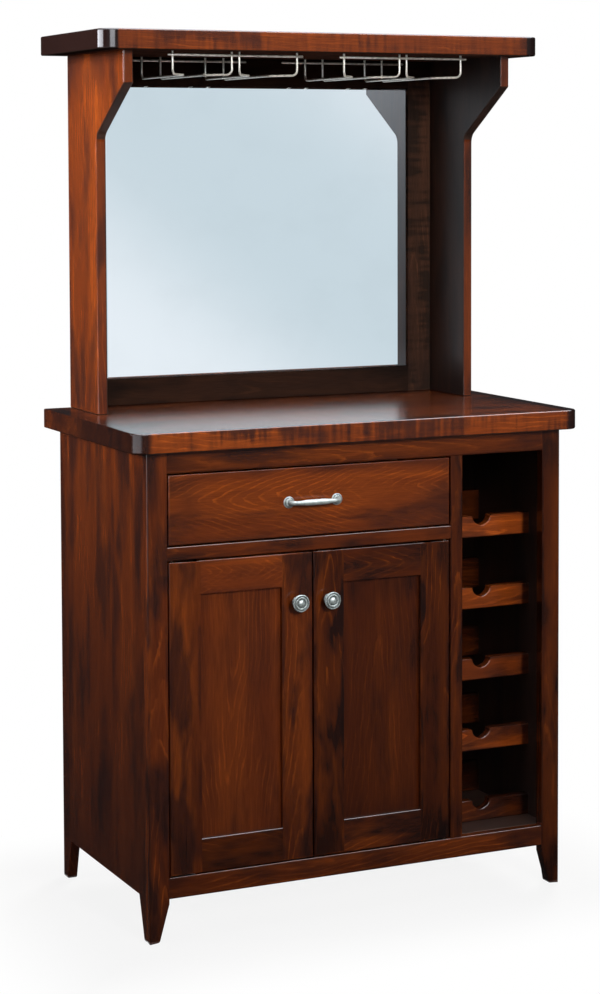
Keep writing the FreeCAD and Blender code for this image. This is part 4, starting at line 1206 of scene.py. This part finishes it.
def add_floor(stage):
    """A round pale floor that keeps the shadow near the cabinet and fades to white further out."""
    material, tree, surface = new_material("Studio floor", Roughness=0.9, Specular_IOR_Level=0.0)
    times, _, minus, larger = sums(tree)
    surface["Base Color"].default_value = opaque(stage.floor)
    white = add_node(tree, "Emission", {"Color": WHITE, "Strength": 1.0})
    place = split(tree, object_place(tree))
    beyond = [minus(math_node(tree, "ABSOLUTE", place[axis]), CAD_BOX[1][axis]) for axis in (0, 1)]
    far = eased_range(tree, larger(*beyond), *FLOOR_FADE, FLOOR_WHITE, 1.0)
    factor = times(far, seen_directly(tree))
    mix_shaders(tree, "Material Output", factor, tree.nodes["Principled BSDF"], white)
    reach = np.linspace(0.0, FLOOR_REACH, FLOOR_RINGS)[1:]
    faces = [*grid_faces(len(reach), FLOOR_AROUND)[:, ::-1].tolist(), list(range(FLOOR_AROUND))]
    ring_sheet("Floor", reach, reach * 0.0, FLOOR_AROUND, faces, material)


def window(tree, value, limits):
    """One inside two limits, with soft edges."""
    above = eased_range(tree, value, limits[0] - GLOW_EDGE, limits[0] + GLOW_EDGE)
    below = eased_range(tree, value, limits[1] - GLOW_EDGE, limits[1] + GLOW_EDGE, 1.0, 0.0)
    return math_node(tree, "MULTIPLY", above, below)


def surround_material():
    """Light of the tent: a dark ground and sides, a folded scrim in front and bright panels. A mirror, whose
    reflection is sharp, sees the pale scrim alone, and the lacquer sees it dimmed."""
    material, tree, _ = new_material("Studio surround")
    tree.nodes.remove(tree.nodes["Principled BSDF"])
    times, plus, minus, larger = sums(tree)
    step = partial(eased_range, tree)
    place = split(tree, object_place(tree))
    flat = add_node(tree, "CombineXYZ", {0: place[0], 1: place[1]}).outputs[0]
    reach = add_node(tree, "VectorMath", {0: flat}, operation="LENGTH").outputs["Value"]
    upright = larger(step(reach, *WALL_REACH), step(place[2], *WALL_RISE))
    front = times(step(place[1], *SCRIM_FRONT), upright)
    slant = plus(times(place[0], SCRIM_FOLDS[0]), times(place[2], SCRIM_FOLDS[1]))
    fold = math_node(tree, "COSINE", minus(slant, SCRIM_START))
    pale = color_mix(tree, step(fold, -1.0, 1.0), *SCRIM_BANDS)
    dark = color_mix(tree, step(place[1], *TENT_DEPTH), TENT_BACK, TENT_GROUND)
    color = color_mix(tree, front, dark, scaled_color(tree, pale, SCRIM_DIM))
    strength, lit = 1.0, 0.0
    for glow in GLOWS:
        sides = times(window(tree, place[0], glow.x), window(tree, place[1], glow.y))
        panel = times(sides, window(tree, place[2], glow.z))
        strength = plus(times(panel, glow.strength - 1.0), strength)
        lit = plus(panel, lit, clamp=True)
    color = color_mix(tree, lit, color, GLOW_COLOR)
    lacquer = add_node(tree, "Emission", {"Color": color, "Strength": strength})
    mirror = add_node(tree, "Emission", {"Color": pale, "Strength": step(place[2], *SCRIM_RISE)})
    sharp = add_node(tree, "LightPath").outputs["Is Singular Ray"]
    mix_shaders(tree, "Material Output", sharp, lacquer, mirror)
    return material


def add_surround():
    """A tent that only reflections see. Its rows run from a ring on the ground near the cabinet out to the
    wall and up the dome, where reach and height are radius * cos e and radius * sin e."""
    rise = np.radians(np.linspace(0, DOME_TOP, DOME_RINGS))
    ground = np.linspace(SURROUND_HOLE, SURROUND_RADIUS, GROUND_RINGS)[:-1]
    reach = np.concatenate([ground, SURROUND_RADIUS * np.cos(rise)])
    height = SURROUND_LIFT + np.concatenate([ground * 0.0, SURROUND_RADIUS * np.sin(rise)])
    faces = grid_faces(len(reach), SURROUND_AROUND).tolist()
    tent = ring_sheet("Surround", reach, height, SURROUND_AROUND, faces, surround_material())
    for ray in ("camera", "diffuse", "transmission", "shadow"):
        setattr(tent, "visible_" + ray, False)


def add_world(context, stage):
    """Even soft light on the object, and plain white where the background itself is seen."""
    world = bpy.data.worlds.new("Studio")
    context.scene.world = world
    world.use_nodes = True
    tree = world.node_tree
    even = tree.nodes["Background"]
    even.inputs["Color"].default_value = WHITE
    even.inputs["Strength"].default_value = stage.ambient
    white = add_node(tree, "Background", {"Color": WHITE, "Strength": 1.0})
    mix_shaders(tree, "World Output", seen_directly(tree), even, white)


class CABINET_OT_stage(bpy.types.Operator):
    """Set up the camera, the lamps, the floor and the backdrop"""
    bl_idname = "cabinet.stage"
    bl_label = "Stage"

    def execute(self, context):
        stage = context.scene.cabinet_stage
        context.scene.view_settings.view_transform = "Standard"
        add_camera(context, stage)
        add_floor(stage)
        add_surround()
        add_world(context, stage)
        for lamp in LAMPS:
            add_lamp(lamp)
        return {"FINISHED"}


# Add-on
OPERATORS = (CABINET_OT_case, CABINET_OT_bottle_rails, CABINET_OT_drawer, CABINET_OT_doors, CABINET_OT_hutch,
             CABINET_OT_mirror, CABINET_OT_knobs, CABINET_OT_pull, CABINET_OT_racks, CABINET_OT_fittings,
             CABINET_OT_stage)


class CABINET_PT_tools(bpy.types.Panel):
    """Lists the pieces of the cabinet"""
    bl_label = "Wine cabinet"
    bl_space_type = "VIEW_3D"
    bl_region_type = "UI"
    bl_category = "Cabinet"

    def draw(self, context):
        for operator in OPERATORS:
            self.layout.operator(operator.bl_idname)


SETTINGS = {"cabinet_stain": StainSettings, "cabinet_metal": MetalSettings, "cabinet_stage": StageSettings}
CLASSES = (*SETTINGS.values(), *OPERATORS, CABINET_PT_tools)


def register():
    """Register the classes and hang the settings on the scene."""
    for one in CLASSES:
        bpy.utils.register_class(one)
    for name, group in SETTINGS.items():
        setattr(bpy.types.Scene, name, PointerProperty(type=group))


def unregister():
    """Take the settings and the classes away again."""
    for name in SETTINGS:
        delattr(bpy.types.Scene, name)
    for one in reversed(CLASSES):
        bpy.utils.unregister_class(one)


def main():
    """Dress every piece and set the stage."""
    register()
    for operator in OPERATORS:
        getattr(bpy.ops.cabinet, operator.bl_idname.split(".")[1])()


if __name__ == "__main__":
    main()
